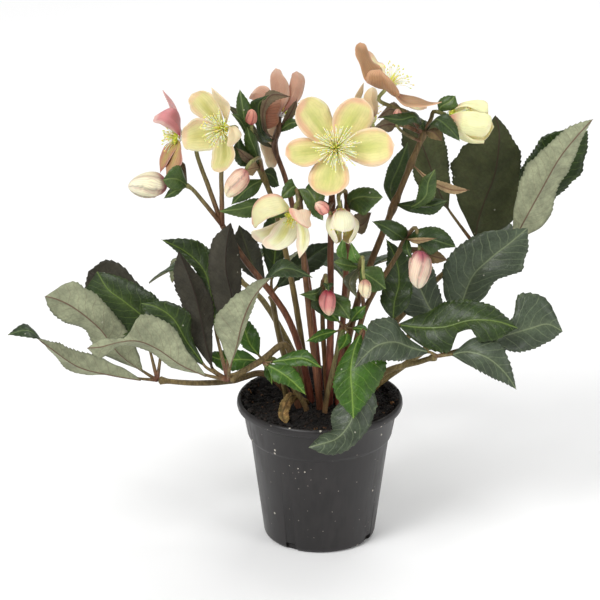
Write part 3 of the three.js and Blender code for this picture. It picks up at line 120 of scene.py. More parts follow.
def addNode(tree, kind, inputs=None, **settings):
    node = tree.nodes.new(kind)
    for key, value in settings.items():
        setattr(node, key, value)
    for key, value in (inputs or {}).items():
        if isinstance(value, bpy.types.NodeSocket):
            tree.links.new(value, node.inputs[key])
        else:
            node.inputs[key].default_value = value
    return node


def maths(tree, operation, first, second=0.0, third=0.0, clamp=False):
    inputs = {0: first, 1: second, 2: third}
    return addNode(tree, "ShaderNodeMath", inputs, operation=operation, use_clamp=clamp).outputs[0]


def mixColour(tree, share, first, second, way="MIX"):
    values = {0: share}
    for key, value in ((6, first), (7, second)):
        values[key] = value if isinstance(value, bpy.types.NodeSocket) else (*value, 1)
    return addNode(tree, "ShaderNodeMix", values, data_type="RGBA", blend_type=way).outputs[2]


def ramp(tree, value, fromLow, fromHigh, toLow=0.0, toHigh=1.0):
    inputs = {"Value": value, "From Min": fromLow, "From Max": fromHigh, "To Min": toLow, "To Max": toHigh}
    return addNode(tree, "ShaderNodeMapRange", inputs, interpolation_type="SMOOTHSTEP").outputs["Result"]


def newGroup(name, inputs, outputs):
    tree = bpy.data.node_groups.new(name, "ShaderNodeTree")
    for label, value in inputs.items():
        kind = "NodeSocketVector" if value is None else "NodeSocketFloat"
        socket = tree.interface.new_socket(label, in_out="INPUT", socket_type=kind)
        if value is not None:
            socket.default_value = value
    for label in outputs:
        tree.interface.new_socket(label, in_out="OUTPUT", socket_type="NodeSocketFloat")
    return tree, tree.nodes.new("NodeGroupInput").outputs, tree.nodes.new("NodeGroupOutput").inputs


def placeGroup(tree, group, **values):
    node = addNode(tree, "ShaderNodeGroup", node_tree=group)
    for key, value in values.items():
        label = key[0].upper() + key[1:]
        if isinstance(value, bpy.types.NodeSocket):
            tree.links.new(value, node.inputs[label])
        else:
            node.inputs[label].default_value = value
    return node.outputs


def newMaterial(name, **constants):
    material = bpy.data.materials.new(name)
    material.use_nodes = True
    shader = material.node_tree.nodes["Principled BSDF"]
    for label, value in constants.items():
        shader.inputs[label.replace("_", " ")].default_value = value
    return material, material.node_tree, shader.inputs


def attribute(tree, name, output):
    return addNode(tree, "ShaderNodeAttribute", attribute_name=name).outputs[output]


def objectPlace(tree):
    return addNode(tree, "ShaderNodeTexCoord").outputs["Object"]


def stretched(tree, place, along):  # a place whose patterns run long up the piece
    return addNode(tree, "ShaderNodeMapping", {"Vector": place, "Scale": (1, 1, along)}).outputs["Vector"]


def cloudy(tree, place, scale, detail=2.0):
    inputs = {"Vector": place, "Scale": scale, "Detail": detail}
    return addNode(tree, "ShaderNodeTexNoise", inputs).outputs["Fac"]


def mottle(tree, place, scale, low, high):
    return placeGroup(tree, groups["mottle"], place=place, scale=scale, low=low, high=high)["Value"]


def specks(tree, place, scale, size, share):
    return placeGroup(tree, groups["specks"], place=place, scale=scale, size=size, share=share)["Mask"]


def veins(tree, place, rib, branch, net):
    blade = attribute(tree, "bladePlace", "Vector")
    return placeGroup(tree, groups["veins"], blade=blade, place=place, rib=rib, branch=branch, net=net)


def grey(tree, level):
    return addNode(tree, "ShaderNodeCombineColor", {0: level, 1: level, 2: level}).outputs["Color"]


def toned(tree, tone):  # the piece's own tint, made lighter and darker
    return mixColour(tree, 1.0, attribute(tree, "tint", "Color"), grey(tree, tone), "MULTIPLY")


# The bump's strength, and its distance in metres
def finishSurface(tree, shader, body, roughness, height, strength, distance):
    tree.links.new(body, shader["Base Color"])
    tree.links.new(roughness, shader["Roughness"])
    bump = addNode(tree, "ShaderNodeBump", {"Height": height, "Strength": strength, "Distance": distance})
    tree.links.new(bump.outputs["Normal"], shader["Normal"])


# Cloudy variation between two values
def mottleGroup():
    tree, given, made = newGroup("mottle", {"Place": None, "Scale": 60, "Low": 0.8, "High": 1.2}, ["Value"])
    cloud = cloudy(tree, given["Place"], given["Scale"], 4.0)
    tree.links.new(ramp(tree, cloud, 0.3, 0.7, given["Low"], given["High"]), made["Value"])
    return tree


# Scattered round specks: a share of the cells of a grain get one
def speckGroup():
    inputs = {"Place": None, "Scale": 300, "Size": 0.2, "Share": 0.1}
    tree, given, made = newGroup("specks", inputs, ["Mask"])
    cells = addNode(tree, "ShaderNodeTexVoronoi", {"Vector": given["Place"], "Scale": given["Scale"]})
    near = maths(tree, "LESS_THAN", cells.outputs["Distance"], given["Size"])
    lucky = addNode(tree, "ShaderNodeSeparateColor", {"Color": cells.outputs["Color"]}).outputs["Red"]
    chosen = maths(tree, "LESS_THAN", lucky, given["Share"])
    tree.links.new(maths(tree, "MULTIPLY", near, chosen), made["Mask"])
    return tree


# The veins of a blade, from its place: across in mm, branch number, share of the half width
def veinGroup():
    inputs = {"Blade": None, "Place": None, "Rib": 0.8, "Branch": 0.12, "Net": 260}
    tree, given, made = newGroup("veins", inputs, ["Rib", "Branches", "Net"])
    blade = addNode(tree, "ShaderNodeSeparateXYZ", {"Vector": given["Blade"]}).outputs
    narrowing = maths(tree, "DIVIDE", maths(tree, "ABSOLUTE", blade["X"]), given["Rib"])
    tree.links.new(ramp(tree, narrowing, 0.6, 1.3, 1.0, 0.0), made["Rib"])
    offset = maths(tree, "MULTIPLY_ADD", cloudy(tree, given["Place"], 90), 0.5, -0.25)
    gap = maths(tree, "PINGPONG", maths(tree, "ADD", blade["Y"], offset), 0.5)
    branch = ramp(tree, maths(tree, "DIVIDE", gap, given["Branch"]), 0.3, 1.0, 1.0, 0.0)
    inner = ramp(tree, blade["Z"], 0.75, 1.0, 1.0, 0.25)
    tree.links.new(maths(tree, "MULTIPLY", branch, inner), made["Branches"])
    cells = addNode(tree, "ShaderNodeTexVoronoi", {"Vector": given["Place"], "Scale": given["Net"]},
                    feature="DISTANCE_TO_EDGE")
    tree.links.new(ramp(tree, cells.outputs["Distance"], 0.02, 0.14, 1.0, 0.0), made["Net"])
    return tree


# Materials

groups = {}


def leafMaterial():  # leaflets and bracts: gloss above, dull below
    material, tree, shader = newMaterial("leafBlade", Coat_Roughness=0.22, Specular_IOR_Level=0.28)
    place = objectPlace(tree)
    under = attribute(tree, "underSide", "Fac")
    marks = veins(tree, place, rib=0.6, branch=0.06, net=330)
    branches = maths(tree, "MULTIPLY", marks["Branches"], attribute(tree, "veinTint", "Alpha"))
    ribTone = maths(tree, "MULTIPLY_ADD", under, 0.3, 0.55)
    drawn = maths(tree, "MAXIMUM", maths(tree, "MULTIPLY", marks["Rib"], ribTone), branches, clamp=True)
    shade = mottle(tree, place, scale=95, low=0.82, high=1.16)
    fine = mottle(tree, place, scale=420, low=0.9, high=1.1)
    netShare = maths(tree, "MULTIPLY_ADD", under, -0.24, 0.16)
    netTone = maths(tree, "MULTIPLY_ADD", marks["Net"], netShare, 1.0)
    body = toned(tree, maths(tree, "MULTIPLY", maths(tree, "MULTIPLY", shade, fine), netTone))
    body = mixColour(tree, drawn, body, attribute(tree, "veinTint", "Color"))
    dust = specks(tree, place, scale=190, size=0.13, share=0.05)
    body = mixColour(tree, maths(tree, "MULTIPLY", dust, 0.45), body, hexColour("c9c6b4"))
    tree.links.new(maths(tree, "MULTIPLY_ADD", under, -0.1, 0.1), shader["Coat Weight"])
    dull = maths(tree, "MULTIPLY_ADD", under, 0.2, mottle(tree, place, scale=130, low=0.34, high=0.52))
    raised = maths(tree, "MULTIPLY_ADD", drawn, -0.7, maths(tree, "MULTIPLY", marks["Net"], -0.35))
    height = maths(tree, "ADD", raised, maths(tree, "MULTIPLY", fine, 0.5))
    finishSurface(tree, shader, body, dull, height, strength=0.45, distance=0.0006)
    return material


def stalkMaterial():  # green skin under brown-red streaks and freckles
    material, tree, shader = newMaterial("stalkSkin", Specular_IOR_Level=0.3)
    place = objectPlace(tree)
    streak = mottle(tree, stretched(tree, place, 0.16), scale=620, low=0.62, high=1.25)
    freckle = specks(tree, place, scale=720, size=0.32, share=0.4)
    body = mixColour(tree, maths(tree, "MULTIPLY", freckle, 0.4), toned(tree, streak), hexColour("4a261c"))
    dull = ramp(tree, streak, 0.6, 1.25, 0.55, 0.36)
    finishSurface(tree, shader, body, dull, streak, strength=0.35, distance=0.0005)
    return material


def sepalMaterial():  # soft, with veins that fan out from the claw
    material, tree, shader = newMaterial("sepalFlesh", Subsurface_Weight=0.12, Subsurface_Scale=0.004)
    place = objectPlace(tree)
    blade = attribute(tree, "bladePlace", "Vector")
    across = addNode(tree, "ShaderNodeSeparateXYZ", {"Vector": blade}).outputs["Z"]
    fan = maths(tree, "MULTIPLY_ADD", cloudy(tree, place, 120), 2.4, maths(tree, "MULTIPLY", across, 6.0))
    line = ramp(tree, maths(tree, "PINGPONG", fan, 0.5), 0.03, 0.2, 1.0, 0.0)
    line = maths(tree, "MULTIPLY", line, attribute(tree, "veinTint", "Alpha"))
    shade = mottle(tree, place, scale=140, low=0.93, high=1.06)
    body = mixColour(tree, line, toned(tree, shade), attribute(tree, "veinTint", "Color"))
    dull = ramp(tree, shade, 0.9, 1.1, 0.48, 0.6)
    height = maths(tree, "MULTIPLY_ADD", line, 0.6, maths(tree, "MULTIPLY", cloudy(tree, place, 900), 0.35))
    finishSurface(tree, shader, body, dull, height, strength=0.3, distance=0.0004)
    return material


def stamenMaterial():
    material, tree, shader = newMaterial("stamenDust", Subsurface_Weight=0.4, Subsurface_Scale=0.003)
    shade = mottle(tree, objectPlace(tree), scale=900, low=0.85, high=1.12)
    dull = ramp(tree, shade, 0.85, 1.12, 0.75, 0.55)
    finishSurface(tree, shader, toned(tree, shade), dull, shade, strength=0.4, distance=0.0003)
    return material


def potMaterial():  # thin black plastic with dust and a few splashes of lime
    material, tree, shader = newMaterial("potPlastic", Specular_IOR_Level=0.36)
    place = objectPlace(tree)
    long = stretched(tree, place, 0.25)
    cloud = mottle(tree, place, scale=28, low=0.0, high=1.0)
    dusty = maths(tree, "MULTIPLY", cloud, mottle(tree, long, scale=210, low=0.0, high=1.0))
    body = mixColour(tree, maths(tree, "MULTIPLY", dusty, 0.5), hexColour("232121"), hexColour("3a3636"))
    grit = specks(tree, place, scale=420, size=0.2, share=0.06)
    splash = specks(tree, place, scale=170, size=0.15, share=0.07)
    body = mixColour(tree, maths(tree, "MULTIPLY", grit, 0.6), body, hexColour("9a9288"))
    body = mixColour(tree, maths(tree, "MULTIPLY", splash, 0.8), body, hexColour("cfc8bb"))
    wear = maths(tree, "MULTIPLY_ADD", dusty, 0.22, 0.36)
    dull = maths(tree, "MAXIMUM", wear, maths(tree, "MULTIPLY", splash, 0.9))
    height = maths(tree, "MULTIPLY_ADD", splash, 0.5, cloudy(tree, long, 60, 3.0))
    finishSurface(tree, shader, body, dull, height, strength=0.25, distance=0.001)
    return material


def peatMaterial():
    material, tree, shader = newMaterial("peat")
    place = objectPlace(tree)
    fine = mottle(tree, place, scale=1300, low=0.7, high=1.3)
    tone = maths(tree, "MULTIPLY", mottle(tree, place, scale=240, low=0.45, high=1.5), fine)
    dull = ramp(tree, fine, 0.7, 1.3, 0.98, 0.8)
    finishSurface(tree, shader, toned(tree, tone), dull, tone, strength=0.8, distance=0.0015)
    return material


def witheredMaterial():
    material, tree, shader = newMaterial("witheredBlade")
    place = objectPlace(tree)
    marks = veins(tree, place, rib=0.6, branch=0.12, net=420)
    shade = mottle(tree, place, scale=320, low=0.55, high=1.3)
    drawn = maths(tree, "MAXIMUM", marks["Rib"], maths(tree, "MULTIPLY", marks["Net"], 0.5), clamp=True)
    body = mixColour(tree, maths(tree, "MULTIPLY", drawn, 0.6), toned(tree, shade), hexColour("3f2f1c"))
    dull = ramp(tree, shade, 0.5, 1.3, 0.9, 0.7)
    height = maths(tree, "MULTIPLY_ADD", drawn, -0.6, shade)
    finishSurface(tree, shader, body, dull, height, strength=0.6, distance=0.0008)
    return material


def floorMaterial():
    material, tree, shader = newMaterial("paleFloor", Roughness=0.9)
    light = ramp(tree, cloudy(tree, objectPlace(tree), 3.0), 0.3, 0.7, 0.95, 0.97)
    tree.links.new(grey(tree, light), shader["Base Color"])
    return material


# What every piece needs

def newPiece():
    bm = bmesh.new()
    bm.verts.layers.float_vector.new("bladePlace")
    bm.verts.layers.float.new("underSide")
    bm.verts.layers.float_color.new("tint")
    bm.verts.layers.float_color.new("veinTint")
    bm.verts.layers.int.new("spot")
    return bm


def layersOf(bm):
    layers = bm.verts.layers
    return {"place": layers.float_vector["bladePlace"], "under": layers.float["underSide"],
            "tint": layers.float_color["tint"], "vein": layers.float_color["veinTint"],
            "spot": layers.int["spot"]}


def finishPiece(bm, name, node, materials):
    bm.verts.layers.int.remove(bm.verts.layers.int["spot"])
    bmesh.ops.scale(bm, vec=(millimetre,) * 3, verts=bm.verts)
    for face in bm.faces:
        face.smooth = True
    mesh = bpy.data.meshes.new(name)
    bm.to_mesh(mesh)
    bm.free()
    for material in materials:
        mesh.materials.append(material)
    piece = addObject(name, mesh)
    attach(piece, "root")
    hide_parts(node)
    return piece


def pieceName(node):  # leaf_left_far becomes leafLeftFar
    first, *rest = node.split("_")
    return first + "".join(word.capitalize() for word in rest)


def direction(values):
    return Vector(values).normalized()


def spoke(angle):  # points level outwards at an angle from +X
    return Vector((math.cos(angle), math.sin(angle), 0))


def spinProfile(bm, profile, steps):  # a round shell from (radius, height) corners
    corners = [bm.verts.new((x, 0, z)) for x, z in profile]
    edges = [bm.edges.new(pair) for pair in zip(corners, corners[1:])]
    bmesh.ops.spin(bm, geom=corners + edges, cent=(0, 0, 0), axis=up, angle=2 * math.pi, steps=steps,
                   use_merge=True)
    bmesh.ops.remove_doubles(bm, verts=bm.verts, dist=0.001)
    bmesh.ops.recalc_face_normals(bm, faces=bm.faces)


# Stalks

def smoothLine(points):  # a smooth curve through the points, as a function of 0 to 1
    points = [Vector(p) for p in points]
    points = [points[0] * 2 - points[1], *points, points[-1] * 2 - points[-2]]
    pieces = []
    for a, b, c, d in zip(points, points[1:], points[2:], points[3:]):
        gap0, gap1, gap2 = (max(0.01, math.sqrt((q - p).length)) for p, q in ((a, b), (b, c), (c, d)))
        out = ((b - a) / gap0 - (c - a) / (gap0 + gap1) + (c - b) / gap1) * gap1
        into = ((c - b) / gap1 - (d - b) / (gap1 + gap2) + (d - c) / gap2) * gap1
        pieces.append((b, out, (c - b) * 3 - out * 2 - into, (b - c) * 2 + out + into))

    def at(share):
        number = min(len(pieces) - 1, int(share * len(pieces)))
        t = share * len(pieces) - number
        b, out, square, cube = pieces[number]
        return b + out * t + square * t ** 2 + cube * t ** 3

    return at


def route(points, stepsEach=12):
    line = smoothLine(points)
    count = stepsEach * (len(points) - 1)
    return [line(step / count) for step in range(count + 1)]


def evenly(curve, count):  # points at equal distances along a curve
    lengths = [0]
    for a, b in zip(curve, curve[1:]):
        lengths.append(lengths[-1] + (b - a).length)
    made = []
    at = 0
    for step in range(count + 1):
        wanted = lengths[-1] * step / count
        while at < len(curve) - 2 and lengths[at + 1] < wanted:
            at += 1
        share = (wanted - lengths[at]) / max(1e-9, lengths[at + 1] - lengths[at])
        made.append(curve[at].lerp(curve[at + 1], min(1, share)))
    return made


def curveLength(curve):
    return sum((b - a).length for a, b in zip(curve, curve[1:]))


stalkBumps = {"depth": 0.07, "along": 0.16, "around": 0.8}


def growStalk(bm, points, radiusAt, tintAt, sides=10, step=2.5):  # step is the distance between its rings
    layers = layersOf(bm)
    curve = route(points)
    rows = max(3, round(curveLength(curve) / step))
    line = evenly(curve, rows)
    tangents = [(line[min(rows, i + 1)] - line[max(0, i - 1)]).normalized() for i in range(rows + 1)]
    side = tangents[0].orthogonal().normalized()
    turns = []
    for tangent in tangents:  # carried along without twisting
        side = (side - tangent * side.dot(tangent)).normalized()
        turns.append((side, tangent.cross(side)))
    sheet = bmesh.ops.create_grid(bm, x_segments=sides, y_segments=rows, size=1)["verts"]
    for vert in sheet:
        column = round((vert.co.x + 1) / 2 * sides)
        row = round((vert.co.y + 1) / 2 * rows)
        share = row / rows
        angle = 2 * math.pi * (column % sides) / sides
        first, second = turns[row]
        around = first * math.cos(angle) + second * math.sin(angle)
        spot = line[row] * stalkBumps["along"] + around * stalkBumps["around"]
        vert.co = line[row] + around * radiusAt(share) * (1 + stalkBumps["depth"] * noise.noise(spot))
        vert[layers["tint"]] = (*tintAt(share, around), 1)
    faces = {face for vert in sheet for face in vert.link_faces}
    bmesh.ops.remove_doubles(bm, verts=sheet, dist=1e-4)
    made = [face for face in faces if face.is_valid]
    rims = {edge for face in made for edge in face.edges if edge.is_boundary}
    made += bmesh.ops.edgeloop_fill(bm, edges=list(rims))["faces"]
    bmesh.ops.recalc_face_normals(bm, faces=made)
    for face in made:
        face.material_index = 1


# Blades

leafClaw = 0.06  # the share of a leaflet that is hardly wider than its rib
sepalWidest = 0.6  # where along a sepal it is widest


def leafOutline(t):
    along = max(0, t - leafClaw) / (1 - leafClaw)
    full = math.sin(math.pi * along ** 0.85) ** 0.75 if t > leafClaw else 0
    return max(0.065 if t < 0.5 else 0.03, full * ease(0.05, 0.2, t))


def bractOutline(t):
    return max(0.05, 0.18 * (1 - t) + 0.9 * math.sin(math.pi * t ** 0.9) ** 0.8)


def sepalOutline(t):
    if t < sepalWidest:
        return 0.09 + 0.91 * math.sin(math.pi / 2 * t / sepalWidest) ** 0.8
    return math.sqrt(max(0, 1 - ((t - sepalWidest) / (1 - sepalWidest)) ** 2))


bladeShapes = {
    "leaf": {
        "outline": leafOutline, "columns": 16, "toothGap": 4.2, "toothDepth": 1.2, "toothFrom": 0.22,
        "fold": 0.12, "wave": 1.5, "ripples": 2, "thickness": 0.5, "ribHeight": 1.3, "ribWidth": 1.0,
        "groove": 0.35, "branchGap": 8.5, "slant": 0.95, "quilt": 0.28, "puff": 0.07, "uneven": 0.1,
    },
    "bract": {
        "outline": bractOutline, "columns": 10, "toothGap": 3.2, "toothDepth": 0.7, "toothFrom": 0.35,
        "fold": 0.2, "wave": 0.5, "ripples": 1.5, "thickness": 0.45, "ribHeight": 0.5, "ribWidth": 0.6,
        "groove": 0.25, "branchGap": 5, "slant": 1.3, "quilt": 0.12, "puff": 0.1, "uneven": 0.12,
    },
    "sepal": {
        "outline": sepalOutline, "columns": 16, "toothGap": 0, "toothDepth": 0, "toothFrom": 1, "rows": 26,
        "fold": 0.14, "wave": 0.9, "ripples": 1.3, "thickness": 0.5, "ribHeight": 0.25, "ribWidth": 0.8,
        "groove": 0.12, "branchGap": 6, "slant": 1.5, "quilt": 0, "puff": -0.08, "uneven": 0.05,
    },
    "withered": {
        "outline": leafOutline, "columns": 14, "toothGap": 2.5, "toothDepth": 0.9, "toothFrom": 0.15,
        "fold": -0.35, "wave": 1.6, "ripples": 3, "thickness": 0.4, "ribHeight": 0.4, "ribWidth": 0.5,
        "groove": 0.1, "branchGap": 4, "slant": 1, "quilt": 0.4, "puff": 0, "uneven": 0.2,
    },
}
toothSteps = ((0, 0), (0.42, 0.5), (0.8, 1), (0.94, 0.3))  # place along a tooth, and how far it stands out


def bentFrame(shape):  # a blade from its base, middle and tip, one width and the way that it faces
    base, mid, tip = (Vector(shape[key]) for key in ("base", "mid", "tip"))
    control = mid * 2 - (base + tip) / 2
    face = direction(shape["face"])

    def at(v):
        tangent = ((control - base) * (1 - v) + (tip - control) * v).normalized()
        facing = Matrix.Rotation(shape.get("roll", 0), 3, tangent) @ face
        side = facing.cross(tangent).normalized()
        normal = tangent.cross(side)
        half = max(0.2, shape["width"] / 2 * shape["outline"](v))
        lift = normal * shape["fold"] * half
        rib = (1 - v) ** 2 * base + 2 * v * (1 - v) * control + v ** 2 * tip
        return rib, side * half + lift, lift - side * half, normal

    return at, (mid - base).length + (tip - mid).length


traceSteps = 80  # how finely a midrib is measured


def spreadFrame(shape):  # a blade from rows of left margin, midrib and right margin
    rows = shape["across"]
    start, tip = shape["start"], shape["tip"]
    left, rib, right = (smoothLine([start, *(row[i] for row in rows), tip]) for i in range(3))
    dense = [rib(step / traceSteps) for step in range(traceSteps + 1)]
    lengths = [0]
    for a, b in zip(dense, dense[1:]):
        lengths.append(lengths[-1] + (b - a).length)
    last = len(rows) / (len(rows) + 1)  # where the last row lies along the lines

    def at(v):
        wanted = v * lengths[-1]
        step = next((i for i in range(traceSteps) if lengths[i + 1] >= wanted), traceSteps - 1)
        within = (wanted - lengths[step]) / max(1e-6, lengths[step + 1] - lengths[step])
        share = (step + within) / traceSteps
        near = min(0.99, max(0.02, share))  # not quite at an end, where the three lines meet
        tangent = (rib(min(1, near + 0.01)) - rib(near - 0.01)).normalized()
        normal = (right(near) - left(near)).cross(tangent).normalized()
        margins = []
        for line in (left, right):
            across = line(share) - rib(share)
            if shape.get("blunt") and share > last:  # a round end
                rounded = math.sqrt(max(0, 1 - ((share - last) / (1 - last)) ** 2))
                across = (line(last) - rib(last)) * rounded
            if across.length < 0.6:
                across = (line(near) - rib(near)).normalized() * (0.6 if v < 0.5 else 0.15)
            margins.append(across)
        return rib(share), *margins, normal

    return at, lengths[-1]


bladeForm = {  # alike for every kind of blade: half widths in mm, the rest shares
    "bunching": 1.4, "edge": 0.6, "edgeThinning": 0.45, "toothRest": 0.3, "branchDrift": 0.5,
    "fullTeeth": 5, "fullQuilt": 6, "fullWaves": 12, "grooveWidth": 0.9,
}


def growBlade(bm, kind, blade, paint):
    layers = layersOf(bm)
    shape = {**bladeShapes[kind], **blade}
    frameAt, length = (spreadFrame if "across" in blade else bentFrame)(shape)
    teeth = round(length / shape["toothGap"]) if shape["toothGap"] else 0
    rows = 4 * teeth if teeth else shape["rows"]
    phase = shape["phase"]
    sheet = bmesh.ops.create_grid(bm, x_segments=shape["columns"], y_segments=rows, size=1)["verts"]
    frames = []
    for row in range(rows + 1):
        step, jut = toothSteps[row % 4] if teeth and row < rows else (0, 0)
        v = (row // 4 + step) / teeth if teeth and row < rows else row / rows
        frames.append((v, jut, *frameAt(v)))
    spots = []
    for vert in sheet:
        u = math.copysign(abs(vert.co.x) ** bladeForm["bunching"], -vert.co.x)
        out = abs(u)
        v, jut, rib, left, right, normal = frames[round((vert.co.y + 1) / 2 * rows)]
        margin = left if u > 0 else right
        half = margin.length
        edge = ease(bladeForm["edge"], 1, out)

        uneven = 0.75 + 0.5 * noise.noise((v * length * 0.35, phase, 2 * math.copysign(1, u)))
        saw = edge * (jut - bladeForm["toothRest"]) * shape["toothDepth"] * uneven
        saw *= min(1, half / bladeForm["fullTeeth"])
        saw *= ease(shape["toothFrom"], shape["toothFrom"] + 0.1, v)
        drift = noise.noise((v * length * 0.09, phase + 5, math.copysign(3, u)))
        uneven = 1 + shape["uneven"] * edge * drift
        if "bite" in shape and u * shape["bite"][0] > 0:  # a piece eaten out of one margin
            near = (v - shape["bite"][1]) / shape["bite"][2]
            uneven -= shape["bite"][3] * ease(0.2, 1, out) * math.exp(-near ** 4)
        across = out * half * uneven + saw

        number = (v * length - shape["slant"] * across) / shape["branchGap"] + (0.25 if u > 0 else -0.25)
        number += bladeForm["branchDrift"] * noise.noise((across * 0.12, v * length * 0.05, phase))
        swell = min(1, 1.6 * math.sin(math.pi * v)) * min(1, half / bladeForm["fullWaves"])
        lift = shape["puff"] * half * 4 * out * (1 - out) * min(1, 3 * math.sin(math.pi * v))
        lift += out * shape["wave"] * math.sin(2 * math.pi * shape["ripples"] * v + phase + u) * swell
        lift += out ** 2 * shape["wave"] * noise.noise((v * length * 0.11, phase * 3, u * 1.4)) * swell
        broad = min(1, half / bladeForm["fullQuilt"]) * ease(0, 0.15, out) * (1 - ease(0.75, 1, out))
        lift += shape["quilt"] * (abs(math.sin(math.pi * number)) - 0.6) * broad
        lift -= shape["groove"] * math.exp(-(across / bladeForm["grooveWidth"]) ** 2)
        point = rib + margin * (across / half) + normal * lift

        ribWidth = shape["ribWidth"] * (0.45 + 0.9 * (1 - v))
        keel = shape["ribHeight"] * ((1 - v) ** 1.2 + 0.2) * math.exp(-(across / ribWidth) ** 2)
        thin = shape["thickness"] * (1 - bladeForm["edgeThinning"] * edge)
        spots.append((point, point - normal * (thin + keel), (math.copysign(across, u), number, out), v, u))
        vert[layers["spot"]] = len(spots) - 1
    faces = list({f for vert in sheet for f in vert.link_faces})
    grown = bmesh.ops.extrude_face_region(bm, geom=faces, use_keep_orig=True)["geom"]
    upper = [item for item in grown if isinstance(item, bmesh.types.BMVert)]
    for verts, below in ((upper, 0), (sheet, 1)):
        for vert in verts:
            point, under, place, v, u = spots[vert[layers["spot"]]]
            vert.co = under if below else point
            tint, veinTint = paint(v, u, below, point)
            vert[layers["place"]] = place
            vert[layers["under"]] = below
            vert[layers["tint"]] = (*tint, 1)
            vert[layers["vein"]] = veinTint
    faces = list({f for verts in (upper, sheet) for vert in verts for f in vert.link_faces})
    bmesh.ops.recalc_face_normals(bm, faces=faces)


# Leaves

leafLooks = {  # upper side, its margin, underside, the veins above and below and how strong they are
    "dark": ("273814", "1d2a0e", "858a66", "6d8438", 0.24, "5a4034", 0.25),
    "sage": ("2c3b22", "23301a", "929679", "667848", 0.24, "66493c", 0.28),
    "fresh": ("335413", "2a470f", "7c9250", "84a046", 0.26, "6d7046", 0.3),
    "silver": ("3f4a38", "343d2f", "8f9478", "84906c", 0.34, "6f6450", 0.3),
    "bronze": ("2e2f22", "26251a", "3c392e", "55583c", 0.2, "2c2219", 0.4),
    # shade is painted shade: darker copies of the leaf colours, most of all the underside, for leaflets at
    # the back that lie in shade
    "shade": ("2b3820", "222d18", "474c2e", "62744a", 0.24, "46382a", 0.35),
}


def leafPaint(look, seed):
    upper, margin, below, vein, strength, lowVein, lowStrength = leafLooks[look]
    upper, margin, below, vein, lowVein = (hexColour(c) for c in (upper, margin, below, vein, lowVein))
    offset = Vector((seed * 7.3, seed * 3.1, 0))
    level = 1 + 0.14 * noise.noise(offset + Vector((0.5, 0.5, 0.5)))

    def paint(v, u, under, point):
        cloud = noise.noise(point * 0.05 + offset)
        fine = noise.noise(point * 0.3 + offset)
        rim = ease(0.9, 1, abs(u))
        if under:
            tint = blend(below, margin, 0.25 * max(0, cloud) + 0.3 * rim)
            return tuple(c * level * (1 + 0.08 * fine) for c in tint), (*lowVein, lowStrength)
        tint = blend(upper, margin, min(1, 0.5 * ease(0.3, 1, abs(u)) + 0.5 * max(0, cloud)))
        tint = blend(tint, vein, 0.12 * (1 - ease(0, 0.3, abs(u))) + 0.35 * rim * max(0, fine + 0.2))
        return tuple(c * level * (1 + 0.2 * cloud + 0.1 * fine) for c in tint), (*vein, strength)

    return paint


stalkLooks = {  # at the foot, halfway and at the top
    "leaf": ("6d4434", "6f5e3c", "70603c"),
    "young": ("74503c", "766a42", "6c7440"),
    "flower": ("7a4032", "70452e", "604630"),
    "bloom": ("724e38", "6f6440", "8a8c54"),
    "withered": ("6b5030", "7c6238", "8a7042"),
    "filament": ("dedb52", "f2efc0", "faf6e4"),
    "pistil": ("dcdc4c", "e6e468", "e4d890"),
}
oliveSkin = "74683a"  # mixed into some stalks


def stalkPaint(look, seed=0):
    low, middle, high = (hexColour(c) for c in stalkLooks[look])
    offset = Vector((seed * 5.7, 0, seed * 2.3))
    if look in ("flower", "leaf"):
        share = min(0.75, max(0, 0.15 + 1.8 * noise.noise((seed * 2.3, 4.1, 0.7))))
        low, middle, high = (blend(colour, hexColour(oliveSkin), share) for colour in (low, middle, high))

    def tintAt(share, around):
        tint = blend(low, middle, ease(0, 0.55, share))
        tint = blend(tint, high, ease(0.55, 1, share))
        sunny = 1 + 0.25 * noise.noise(around * 0.8 + offset + Vector((0, 0, share * 9)))
        return tuple(c * sunny for c in tint)

    return tintAt


def draws(seed):  # the same run of numbers from 0 to 1 each time
    state = seed
    while True:
        state = (state * 1664525 + 1013904223) % 4294967296
        yield state / 4294967296


rootDepth = 94  # where every stalk ends inside the peat


def divided(radius, petiole, *leaflets):  # the radius is its stalk's, in the middle
    return {"radius": radius, "petiole": petiole, "leaflets": leaflets}


def leaflet(mid, tip, width, face, look):
    return {"mid": mid, "tip": tip, "width": width, "face": face, "look": look}


def sheet(look, start, tip, *across, **more):  # rows of left margin, midrib and right margin
    return {"look": look, "start": start, "across": across, "tip": tip, **more}


